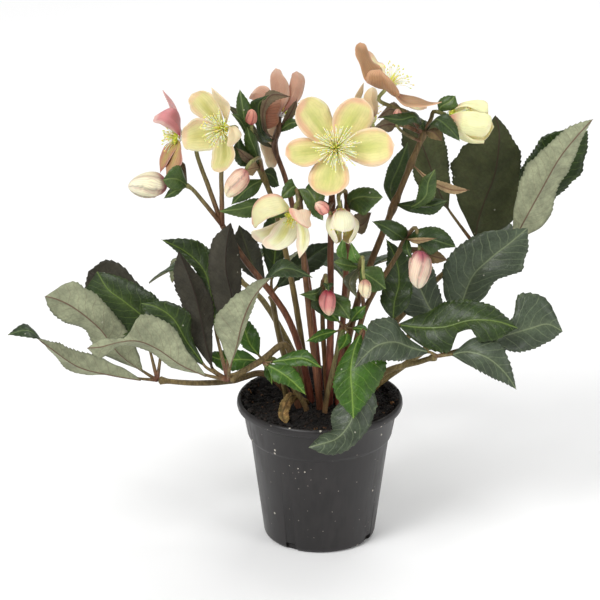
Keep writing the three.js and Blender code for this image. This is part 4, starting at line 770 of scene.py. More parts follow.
leaves = {
    "leaf_left_far": divided(
        2.6, [(-22, 8, rootDepth), (-24, 8, 112), (-44, 5, 133), (-69, 2, 128), (-98, 0, 127),
              (-127, 1, 129)],
        sheet("sage", (-140, -3, 132), (-240, -28, 180),
            ((-161, -8, 148), (-163, -10, 139), (-164, -2, 135)),
            ((-187, -16, 161), (-187, -18, 149), (-194, -10, 142)),
            ((-208, -24, 173), (-210, -26, 170), (-209, -19, 163)),
            ((-221, -36, 180), (-224, -28, 183), (-226, -18, 185))),
        sheet("sage", (-138, 0, 137), (-212, -10, 204), ((-142, 2, 153), (-156, -4, 154), (-169, 0, 152)),
            ((-158, -2, 184), (-171, -8, 177), (-184, -4, 174)),
            ((-179, -6, 209), (-191, -11, 196), (-199, -8, 183)),
            ((-193, -4, 213), (-204, -12, 203), (-209, -9, 193))),
        sheet("bronze", (-133, 12, 150), (-182, 48, 202),
            ((-128, 28, 170), (-139, 24, 162), (-149, 30, 158)),
            ((-139, 38, 193), (-153, 36, 181), (-170, 40, 174)),
            ((-166, 46, 212), (-169, 44, 194), (-184, 46, 187))),
        sheet("dark", (-125, 10, 147), (-174, 30, 209), ((-148, 0, 166), (-135, 14, 173), (-125, 28, 182)),
            ((-177, 2, 177), (-152, 16, 189), (-141, 32, 196)),
            ((-187, 10, 191), (-165, 20, 198), (-158, 34, 203))),
    ),
    "leaf_left_near": divided(
        2.9, [(-16, -10, rootDepth), (-17, -11, 115), (-27, -18, 167), (-45, -30, 159), (-71, -38, 146)],
        sheet("sage", (-88, -42, 152), (-177, -62, 183),
            ((-101, -46, 174), (-107, -48, 164), (-111, -40, 156)),
            ((-117, -50, 199), (-124, -54, 179), (-126, -44, 169)),
            ((-135, -54, 209), (-138, -58, 187), (-139, -48, 177)),
            ((-148, -58, 191), (-152, -61, 188), (-155, -54, 181)),
            ((-166, -60, 189), (-166, -62, 184), (-168, -58, 173))),
        sheet("dark", (-88, -38, 157), (-137, -26, 205),
            ((-110, -42, 173), (-102, -36, 177), (-99, -32, 183)),
            ((-125, -38, 188), (-113, -32, 195), (-101, -26, 198)),
            ((-134, -33, 198), (-126, -28, 203), (-115, -23, 205))),
        sheet("bronze", (-83, -34, 154), (-109, 0, 238),
            ((-83, -20, 175), (-89, -24, 175), (-99, -22, 173)),
            ((-83, -10, 201), (-94, -14, 198), (-107, -12, 199)),
            ((-92, -2, 215), (-101, -6, 219), (-113, -4, 219))),
        sheet("dark", (-81, -5, 174), (-123, 24, 238), ((-91, 4, 199), (-84, 4, 198), (-76, 8, 200)),
            ((-96, 10, 217), (-90, 12, 217), (-82, 18, 225)),
            ((-109, 18, 228), (-104, 20, 229), (-96, 24, 237))),
        sheet("bronze", (-70, -30, 180), (-68, -26, 271),
            ((-61, -22, 209), (-67, -30, 207), (-82, -24, 207)),
            ((-61, -20, 233), (-72, -30, 235), (-85, -22, 232)),
            ((-63, -20, 251), (-71, -28, 255), (-83, -20, 252))),
        sheet("sage", (-69, -48, 162), (-6, -60, 240), ((-61, -50, 182), (-64, -52, 179), (-76, -50, 182)),
            ((-55, -54, 202), (-59, -56, 202), (-80, -54, 204)),
            ((-48, -57, 222), (-52, -58, 220), (-63, -56, 224)),
            ((-41, -54, 239), (-41, -60, 237), (-43, -65, 240)),
            ((-30, -52, 252), (-27, -60, 247), (-25, -67, 243))),
    ),
    "leaf_young_left": divided(
        2.2, [(-24, -2, rootDepth), (-26, -3, 115), (-35, -8, 150), (-44, -14, 153)],
        sheet("fresh", (-48, -14, 152), (-91, -12, 158), ((-60, -18, 147), (-60, -14, 153), (-60, -9, 159)),
            ((-74, -19, 146), (-76, -14, 153), (-76, -8, 158))),
        sheet("fresh", (-47, -12, 155), (-61, 4, 183), ((-60, -10, 162), (-54, -8, 163), (-47, -6, 168)),
            ((-64, -4, 173), (-58, -2, 172), (-52, 0, 176))),
        sheet("fresh", (-43, -18, 149), (-37, -28, 138),
            ((-36, -19, 149), (-39, -22, 147), (-43, -24, 145))),
    ),
    "leaf_young_front": divided(
        2, [(-10, -18, rootDepth), (-11, -20, 115), (-35, -40, 157), (-43, -48, 164)],
        sheet("fresh", (-41, -50, 164), (-11, -68, 147),
            ((-29, -50, 164), (-32, -55, 161), (-36, -60, 156)),
            ((-17, -58, 161), (-22, -62, 156), (-25, -66, 153))),
        sheet("fresh", (-38, -47, 165), (1, -58, 165), ((-26, -44, 170), (-28, -48, 167), (-27, -52, 163)),
            ((-12, -47, 175), (-13, -52, 170), (-13, -56, 166))),
    ),
    "leaf_young_centre": divided(
        2, [(4, -20, rootDepth), (4, -21, 115), (14, -24, 168), (18, -26, 185)],
        sheet("fresh", (14, -28, 183), (-11, -42, 180), ((0, -40, 179), (1, -36, 183), (2, -32, 186))),
        sheet("fresh", (15, -26, 189), (1, -30, 207), ((4, -30, 194), (8, -28, 197), (12, -26, 202))),
        sheet("fresh", (23, -26, 189), (35, -26, 203), ((24, -24, 199), (28, -26, 196), (33, -28, 194))),
        sheet("fresh", (21, -30, 183), (14, -46, 174), ((24, -37, 178), (19, -38, 178), (14, -38, 179))),
        sheet("fresh", (24, -28, 185), (40, -36, 183), ((32, -30, 189), (32, -32, 186), (31, -34, 182))),
    ),
    "leaf_front_hanging": divided(
        2.4, [(16, -18, rootDepth), (18, -19, 115), (29, -32, 168), (33, -42, 189)],
        sheet("fresh", (31, -44, 188), (25, -82, 133), ((34, -50, 179), (26, -54, 179), (20, -52, 177)),
            ((49, -60, 170), (23, -66, 166), (11, -64, 164)),
            ((42, -72, 152), (24, -75, 151), (10, -73, 152))),
        sheet("silver", (30, -58, 159), (-9, -88, 112), ((43, -62, 142), (28, -66, 143), (13, -64, 137)),
            ((38, -74, 125), (23, -76, 128), (8, -70, 128)),
            ((22, -88, 110), (13, -84, 118), (9, -76, 121)), ((5, -92, 108), (1, -88, 115), (0, -80, 118))),
    ),
    "leaf_right_front": divided(
        2.6, [(27, -10, rootDepth), (30, -11, 113), (50, -32, 150), (76, -42, 163), (89, -50, 171)],
        sheet("silver", (84, -52, 175), (25, -90, 178), ((69, -64, 175), (70, -60, 182), (67, -54, 188)),
            ((56, -78, 179), (55, -72, 192), (56, -60, 206)),
            ((43, -88, 184), (42, -82, 193), (40, -66, 207)),
            ((33, -90, 182), (33, -87, 187), (33, -78, 200))),
        sheet("silver", (99, -52, 173), (149, -70, 152),
            ((120, -52, 188), (112, -58, 178), (114, -62, 168)),
            ((135, -58, 185), (126, -64, 176), (126, -68, 163)),
            ((144, -64, 170), (139, -68, 166), (136, -72, 160))),
        sheet("silver", (115, -40, 175), (187, -20, 179),
            ((136, -28, 187), (130, -34, 178), (131, -40, 174)),
            ((148, -22, 191), (146, -28, 180), (147, -36, 169)),
            ((153, -12, 207), (161, -24, 183), (163, -32, 169)),
            ((173, -12, 203), (175, -20, 185), (177, -26, 174))),
    ),
    "leaf_right_upper": divided(
        2.4, [(27, 0, rootDepth), (28, -1, 115), (40, -12, 160), (56, -26, 187)],
        sheet("dark", (59, -30, 189), (150, -54, 196), ((78, -28, 197), (76, -36, 189), (73, -44, 180)),
            ((97, -30, 207), (95, -42, 192), (93, -52, 174)),
            ((117, -34, 212), (114, -46, 199), (114, -58, 183)),
            ((136, -42, 205), (133, -50, 200), (134, -58, 189)), bite=(-1, 0.57, 0.09, 0.75)),
        sheet("dark", (56, -22, 189), (51, 4, 246), ((47, -24, 203), (57, -20, 203), (68, -18, 200)),
            ((49, -6, 215), (61, -4, 214), (71, -2, 216)), ((52, -2, 234), (58, 0, 232), (67, 2, 233))),
    ),
    "leaf_right_middle": divided(
        2.4, [(30, 14, rootDepth), (32, 14, 115), (78, 4, 170), (105, 4, 167)],
        sheet("silver", (107, 6, 178), (160, 12, 252), ((96, 4, 202), (112, 8, 197), (127, 4, 197)),
            ((97, 8, 225), (119, 10, 214), (138, 4, 212)), ((111, 14, 241), (133, 12, 228), (154, 6, 219)),
            ((135, 14, 249), (147, 12, 240), (160, 8, 235))),
        sheet("silver", (95, 4, 177), (68, 12, 229), ((68, 0, 184), (85, 4, 189), (95, 6, 195)),
            ((60, 2, 196), (78, 8, 203), (90, 8, 208)), ((62, 6, 211), (71, 10, 216), (88, 10, 218))),
    ),
    "leaf_right_back": divided(
        2.6, [(22, 24, rootDepth), (24, 26, 115), (75, 36, 182), (122, 46, 224)],
        # these two leaflets take the shade look, which is painted shade
        sheet("shade", (122, 46, 229), (136, 56, 329), ((146, 52, 239), (123, 48, 241), (115, 52, 242)),
            ((158, 58, 255), (128, 52, 258), (106, 56, 262)),
            ((159, 62, 277), (136, 56, 279), (103, 62, 279)),
            ((155, 62, 298), (139, 58, 300), (110, 62, 299)),
            ((146, 60, 315), (139, 58, 316), (125, 60, 312))),
        sheet("shade", (101, 58, 250), (68, 66, 330), ((102, 62, 271), (93, 60, 266), (79, 64, 265)),
            ((100, 66, 288), (85, 64, 288), (71, 68, 283)), ((97, 68, 307), (76, 66, 311), (64, 68, 306))),
        sheet("dark", (132, 56, 227), (156, 122, 172), ((146, 72, 234), (143, 76, 221), (139, 80, 208)),
            ((162, 98, 209), (153, 100, 198), (145, 104, 188))),
    ),
    "leaf_right_far": divided(
        2.6, [(33, 6, rootDepth), (36, 6, 113), (86, 14, 153), (133, 28, 203), (148, 24, 228)],
        sheet("sage", (149, 24, 235), (207, 6, 343), ((175, 24, 253), (159, 20, 258), (150, 24, 266)),
            ((183, 22, 279), (170, 16, 282), (156, 22, 294)),
            ((193, 16, 304), (183, 11, 310), (173, 16, 317)),
            ((200, 10, 327), (195, 8, 328), (189, 10, 335))),
        sheet("dark", (156, 36, 240), (207, 48, 319), ((155, 38, 289), (168, 40, 268), (182, 38, 265)),
            ((164, 44, 304), (182, 44, 295), (202, 40, 289)),
            ((179, 47, 318), (194, 47, 311), (207, 44, 310))),
    ),
    "leaf_centre_back": divided(
        2.6, [(-18, 20, rootDepth), (-20, 22, 113), (-31, 30, 150), (-38, 33, 189)],
        sheet("bronze", (-42, 34, 195), (-63, 42, 243), ((-61, 34, 210), (-53, 37, 213), (-45, 36, 217)),
            ((-68, 38, 228), (-59, 42, 230), (-49, 40, 231))),
        sheet("dark", (-38, 36, 197), (-33, 50, 258), ((-44, 42, 218), (-35, 43, 220), (-27, 42, 218)),
            ((-45, 46, 238), (-35, 48, 240), (-25, 46, 238))),
        # this leaflet takes the shade look, which is painted shade
        sheet("shade", (-35, 33, 193), (12, 42, 229), ((-27, 36, 211), (-21, 39, 205), (-17, 38, 198)),
            ((-11, 38, 226), (-4, 42, 219), (2, 40, 211))),
    ),
    "leaf_back": divided(
        2.6, [(10, 28, rootDepth), (11, 30, 113), (20, 70, 160), (24, 100, 172)],
        leaflet((-4, 130, 184), (-30, 154, 160), 40, (-0.2, 0.5, 0.9), "dark"),
        leaflet((26, 142, 178), (28, 176, 140), 42, (0, 0.6, 0.8), "dark"),
        leaflet((58, 122, 184), (94, 138, 166), 40, (0.3, 0.5, 0.9), "dark"),
    ),
    "leaf_back_left": divided(
        2.6, [(-8, 24, rootDepth), (-10, 26, 113), (-44, 62, 170), (-66, 84, 182)],
        leaflet((-100, 80, 196), (-136, 74, 182), 38, (-0.4, 0.2, 0.9), "dark"),
        leaflet((-94, 112, 192), (-120, 136, 158), 40, (-0.4, 0.5, 0.8), "dark"),
        leaflet((-60, 116, 190), (-54, 152, 166), 38, (0, 0.6, 0.8), "dark"),
    ),
}


def leafPiece(node, leaf, seed):
    bm = newPiece()
    draw = draws(seed)
    hub = Vector(leaf["petiole"][-1])
    radius = leaf["radius"]

    def radiusAt(share):  # wider at the foot, and a knob where the leaflets spring
        knob = 0.55 * ease(0.93, 0.985, share) - 1.25 * ease(0.985, 1, share)
        foot = 0.25 * (1 - ease(0, 0.12, share)) * ease(0, 0.02, share)
        return radius * (1.15 - 0.35 * share + knob + foot)

    young = "young" in node or "hanging" in node
    growStalk(bm, leaf["petiole"], radiusAt, stalkPaint("young" if young else "leaf", seed))
    for number, blade in enumerate(leaf["leaflets"]):
        paint = leafPaint(blade["look"], seed + 0.37 * number)
        blade = {"phase": 6 * next(draw), **blade}
        if "across" in blade:  # on a short stalk of its own that ends inside the blade
            into = Vector(blade["start"]).lerp(Vector(blade["across"][0][1]), 0.15)
            points = [hub, blade["start"], into]
            growStalk(bm, points, lambda s: radius * (0.62 - 0.25 * s), stalkPaint("leaf", seed), 8, 2)
        else:
            blade["base"] = hub + (Vector(blade["mid"]) - hub).normalized() * 0.6 * radius
        growBlade(bm, "leaf", blade, paint)
    return finishPiece(bm, pieceName(node), node, (looks["leafBlade"], looks["stalkSkin"]))


# Flower stems, blooms and buds, and where they are

def stalk(points, radii, to=None):  # to names the bloom or bud at its end
    return {"points": points, "radii": radii, "to": to}


def bract(look, on, share, tip, *across):  # on counts the stem's stalks, share runs along one
    return {"look": look, "on": on, "share": share, "across": across, "tip": tip}


def sepal(tip, *across, blunt=True):
    return {"across": across, "tip": tip, "blunt": blunt}


def bloomAt(at, facing, splay, spin, *blades, **more):  # splay in degrees off the axis
    return {"at": at, "facing": facing, "splay": splay, "spin": spin, "blades": blades, **more}


# The front bloom's sepals follow one formula. For each: its turn, and its shares of their length and width
blooms = {
    "bloom_front": bloomAt(
        (11, -47, 338), (0.05, -0.9, 0.42), 80, 1.01, tipSplay=62, length=40, width=30, roll=0.2,
        sepals=[(0.08, 1.02, 0.98), (0, 1.08, 0.95), (-0.19, 0.95, 0.76),
                (-0.24, 0.92, 1.04), (0.31, 1.07, 0.98)],
    ),
    "bloom_top": bloomAt(
        (51, -2, 372), (0.55, 0, 0.83), 80, 0,
        sepal((29, -8, 408), ((45, 2, 385), (40, -9, 383), (34, -14, 379)),
            ((39, 0, 392), (33, -11, 394), (28, -17, 396)),
            ((35, -3, 401), (30, -10, 402), (26, -14, 403))),
        sepal((37, 22, 392), ((40, 8, 379), (45, 14, 379), (48, 22, 381)),
            ((37, 14, 388), (40, 20, 386), (44, 27, 382))),
        sepal((44, -33, 395), ((57, -16, 369), (48, -20, 376), (39, -14, 376)),
            ((59, -24, 373), (46, -29, 385), (34, -24, 385))),
        sepal((91, -12, 362), ((61, -18, 362), (63, -6, 360), (63, 6, 362)),
            ((74, -18, 361), (75, -6, 359), (76, 8, 358)), ((83, -17, 361), (84, -10, 360), (85, -3, 359)),
            blunt=False),
        sepal((81, 12, 350), ((66, 18, 355), (64, 12, 355), (63, 4, 355)),
            ((76, 22, 351), (74, 16, 350), (72, 8, 350))),
    ),
    "bloom_behind_top": bloomAt(
        (39, 34, 332), (-0.3, 0.85, 0.35), 66, 0,
        sepal((40, 28, 361), ((44, 31, 340), (41, 27, 342), (39, 27, 341)),
            ((44, 30, 351), (39, 26, 352), (33, 28, 351))),
        sepal((33, 30, 364), ((31, 36, 348), (29, 30, 351), (26, 25, 352)),
            ((33, 35, 355), (30, 30, 357), (28, 26, 358)), blunt=False),
        sepal((22, 35, 345), ((35, 31, 346), (32, 33, 339), (28, 34, 334)),
            ((29, 32, 348), (26, 34, 342), (23, 36, 335))),
        sepal((18, 38, 323), ((29, 35, 335), (30, 36, 328), (31, 38, 321)),
            ((22, 36, 332), (23, 37, 326), (25, 39, 319))),
        sepal((33, 46, 307), ((32, 42, 324), (37, 40, 322), (42, 38, 320)),
            ((30, 46, 314), (35, 44, 314), (39, 42, 313))),
    ),
    "bloom_left_pink": bloomAt(
        (-108, 5, 328), (-0.93, 0.1, 0.05), 70, 0,
        sepal((-125, -10, 350), ((-106, 0, 345), (-109, -8, 344), (-115, -8, 340)),
            ((-111, -5, 355), (-116, -13, 352), (-121, -12, 345))),
        sepal((-120, 14, 363), ((-110, 22, 343), (-111, 14, 346), (-113, 6, 347)),
            ((-113, 22, 352), (-115, 15, 353), (-116, 8, 354)), blunt=False),
        sepal((-122, -6, 304), ((-112, -6, 319), (-115, 0, 320), (-118, 6, 322)),
            ((-116, -9, 312), (-119, -4, 313), (-122, 2, 314)), blunt=False),
        sepal((-117, -14, 304), ((-105, -11, 324), (-109, -6, 322), (-114, 1, 319)),
            ((-105, -19, 316), (-112, -12, 315), (-117, -5, 311)), blunt=False),
        sepal((-115, 34, 336), ((-110, 24, 321), (-107, 20, 329), (-109, 20, 336)),
            ((-114, 32, 325), (-111, 30, 331), (-112, 28, 337))),
    ),
    "bloom_left_cream": bloomAt(
        (-72, -31, 348), (-0.68, -0.7, 0.2), 72, 0,
        sepal((-105, -16, 334), ((-80, -31, 332), (-82, -27, 341), (-83, -30, 354)),
            ((-89, -26, 328), (-91, -21, 339), (-92, -26, 355)),
            ((-99, -22, 328), (-100, -18, 336), (-101, -22, 347))),
        sepal((-97, -16, 370), ((-87, -27, 353), (-81, -26, 356), (-75, -30, 364)),
            ((-96, -23, 358), (-89, -20, 364), (-80, -26, 372)),
            ((-98, -20, 363), (-93, -17, 367), (-85, -22, 374))),
        sepal((-81, -42, 384), ((-68, -46, 370), (-71, -36, 366), (-75, -27, 363)),
            ((-73, -51, 380), (-76, -41, 375), (-80, -31, 372)), blunt=False),
        sepal((-67, -58, 343), ((-68, -46, 354), (-66, -42, 351), (-63, -38, 352)),
            ((-69, -56, 348), (-64, -52, 348), (-59, -46, 348))),
        sepal((-76, -37, 315), ((-66, -40, 337), (-72, -34, 335), (-80, -32, 334)),
            ((-64, -44, 330), (-72, -37, 327), (-82, -34, 326))),
    ),
    "bloom_nodding": bloomAt(
        (-21, -48, 286), (-0.35, -0.62, -0.7), 45, 0,
        sepal((-51, -58, 282), ((-30, -48, 300), (-30, -58, 297), (-28, -66, 294)),
            ((-42, -52, 302), (-41, -62, 297), (-39, -66, 289)),
            ((-50, -55, 296), (-48, -62, 291), (-46, -62, 283))),
        sepal((-52, -40, 265), ((-34, -40, 264), (-36, -42, 270), (-37, -45, 276)),
            ((-43, -38, 259), (-45, -40, 265), (-48, -44, 272))),
        sepal((-41, -52, 260), ((-16, -44, 275), (-26, -43, 274), (-34, -46, 276)),
            ((-19, -46, 264), (-31, -46, 266), (-39, -49, 270)),
            ((-28, -48, 258), (-37, -50, 262), (-43, -52, 267))),
        sepal((-16, -50, 251), ((-9, -42, 271), (-13, -46, 271), (-18, -50, 269)),
            ((-9, -46, 260), (-13, -48, 261), (-18, -50, 260)), blunt=False),
        sepal((-10, -60, 279), ((-24, -60, 294), (-16, -57, 291), (-9, -48, 288)),
            ((-21, -65, 290), (-14, -62, 286), (-8, -55, 285))),
    ),
    "bloom_globe": bloomAt(
        (15, -40, 285), (0.1, -0.62, -0.78), 40, 0,
        sepal((17, -59, 276), ((10, -51, 286), (16, -55, 288), (23, -50, 287)),
            ((8, -55, 281), (17, -60, 283), (26, -54, 280))),
        sepal((12, -46, 262), ((6, -38, 281), (9, -46, 281), (11, -54, 287)),
            ((4, -36, 273), (6, -46, 272), (10, -54, 275))),
        sepal((22, -46, 262), ((23, -52, 285), (24, -46, 281), (24, -38, 282)),
            ((24, -53, 275), (27, -46, 273), (28, -36, 273))),
        sepal((21, -42, 260), ((28, -38, 276), (22, -31, 273), (17, -28, 274)),
            ((28, -40, 268), (24, -33, 264), (17, -30, 264))),
        sepal((12, -42, 260), ((16, -28, 274), (10, -33, 274), (6, -38, 277)),
            ((16, -31, 264), (9, -35, 265), (6, -40, 269))),
    ),
    "bloom_right_yellow": bloomAt(
        (98, 2, 347), (0.93, -0.35, -0.12), 36, 0.5,
        sepal((129, -10, 344), ((103, -6, 335), (106, -10, 346), (109, -8, 354)),
            ((118, -9, 332), (118, -14, 344), (121, -9, 353))),
        sepal((127, 7, 353), ((110, -5, 357), (111, 5, 355), (111, 14, 354)),
            ((122, -2, 350), (120, 7, 355), (122, 15, 355))),
        sepal((124, -3, 327), ((102, 8, 332), (104, -1, 332), (106, -9, 338)),
            ((114, 9, 325), (114, -2, 327), (117, -12, 333))),
        sepal((132, 13, 334), ((113, 17, 341), (114, 15, 333), (113, 12, 326)),
            ((126, 18, 339), (127, 16, 330), (124, 12, 323))),
        sepal((128, 19, 344), ((110, 12, 353), (111, 17, 346), (112, 19, 339)),
            ((121, 14, 355), (122, 19, 347), (124, 21, 339))),
    ),
    "bloom_back_pink": bloomAt(
        (-31, 22, 341), (0.05, 0.8, 0.55), 70, 0,
        sepal((-34, 19, 379), ((-24, 22, 354), (-30, 20, 355), (-36, 22, 353)),
            ((-24, 21, 365), (-31, 18, 367), (-38, 21, 364)),
            ((-29, 20, 374), (-34, 18, 374), (-38, 20, 371))),
        sepal((-18, 24, 375), ((-16, 26, 351), (-22, 24, 354), (-25, 26, 354)),
            ((-12, 25, 364), (-18, 23, 364), (-24, 25, 362)),
            ((-12, 25, 369), (-17, 23, 371), (-22, 25, 370))),
        sepal((-53, 20, 358), ((-39, 22, 362), (-41, 20, 354), (-45, 22, 348)),
            ((-45, 22, 364), (-48, 20, 359), (-52, 22, 353))),
        sepal((-44, 5, 346), ((-30, 10, 358), (-34, 7, 346), (-34, 10, 336)),
            ((-37, 7, 358), (-41, 3, 347), (-41, 7, 334))),
        sepal((-38, 30, 294), ((-46, 28, 317), (-40, 30, 317), (-35, 32, 315)),
            ((-43, 28, 304), (-40, 30, 305), (-33, 32, 304))),
    ),
}
buds = {
    "bud_left": {"at": (-116, -18, 299), "facing": (-0.97, -0.2, 0), "length": 30, "radius": 10},
    "bud_hanging": {"at": (-56, -52, 323), "facing": (-0.55, -0.2, -0.8), "length": 25, "radius": 7.6},
    "bud_upper_left": {"at": (-52, -16, 346), "facing": (0, -0.2, 1), "length": 13, "radius": 4.4},
    "bud_pink": {"at": (5, -50, 289), "facing": (-0.6, -0.5, 0.6), "length": 14, "radius": 4.8},
    "bud_low": {"at": (5, -36, 220), "facing": (0.1, -0.3, -0.95), "length": 20, "radius": 6.5},
    "bud_middle": {"at": (33, -50, 234), "facing": (0.15, -0.2, -1), "length": 15, "radius": 5},
    "bud_right": {"at": (75, -36, 252), "facing": (0, -0.25, -0.95), "length": 29, "radius": 9},
    "bud_top": {"at": (58, -10, 348), "facing": (0, -0.2, 1), "length": 9, "radius": 3.6},
}


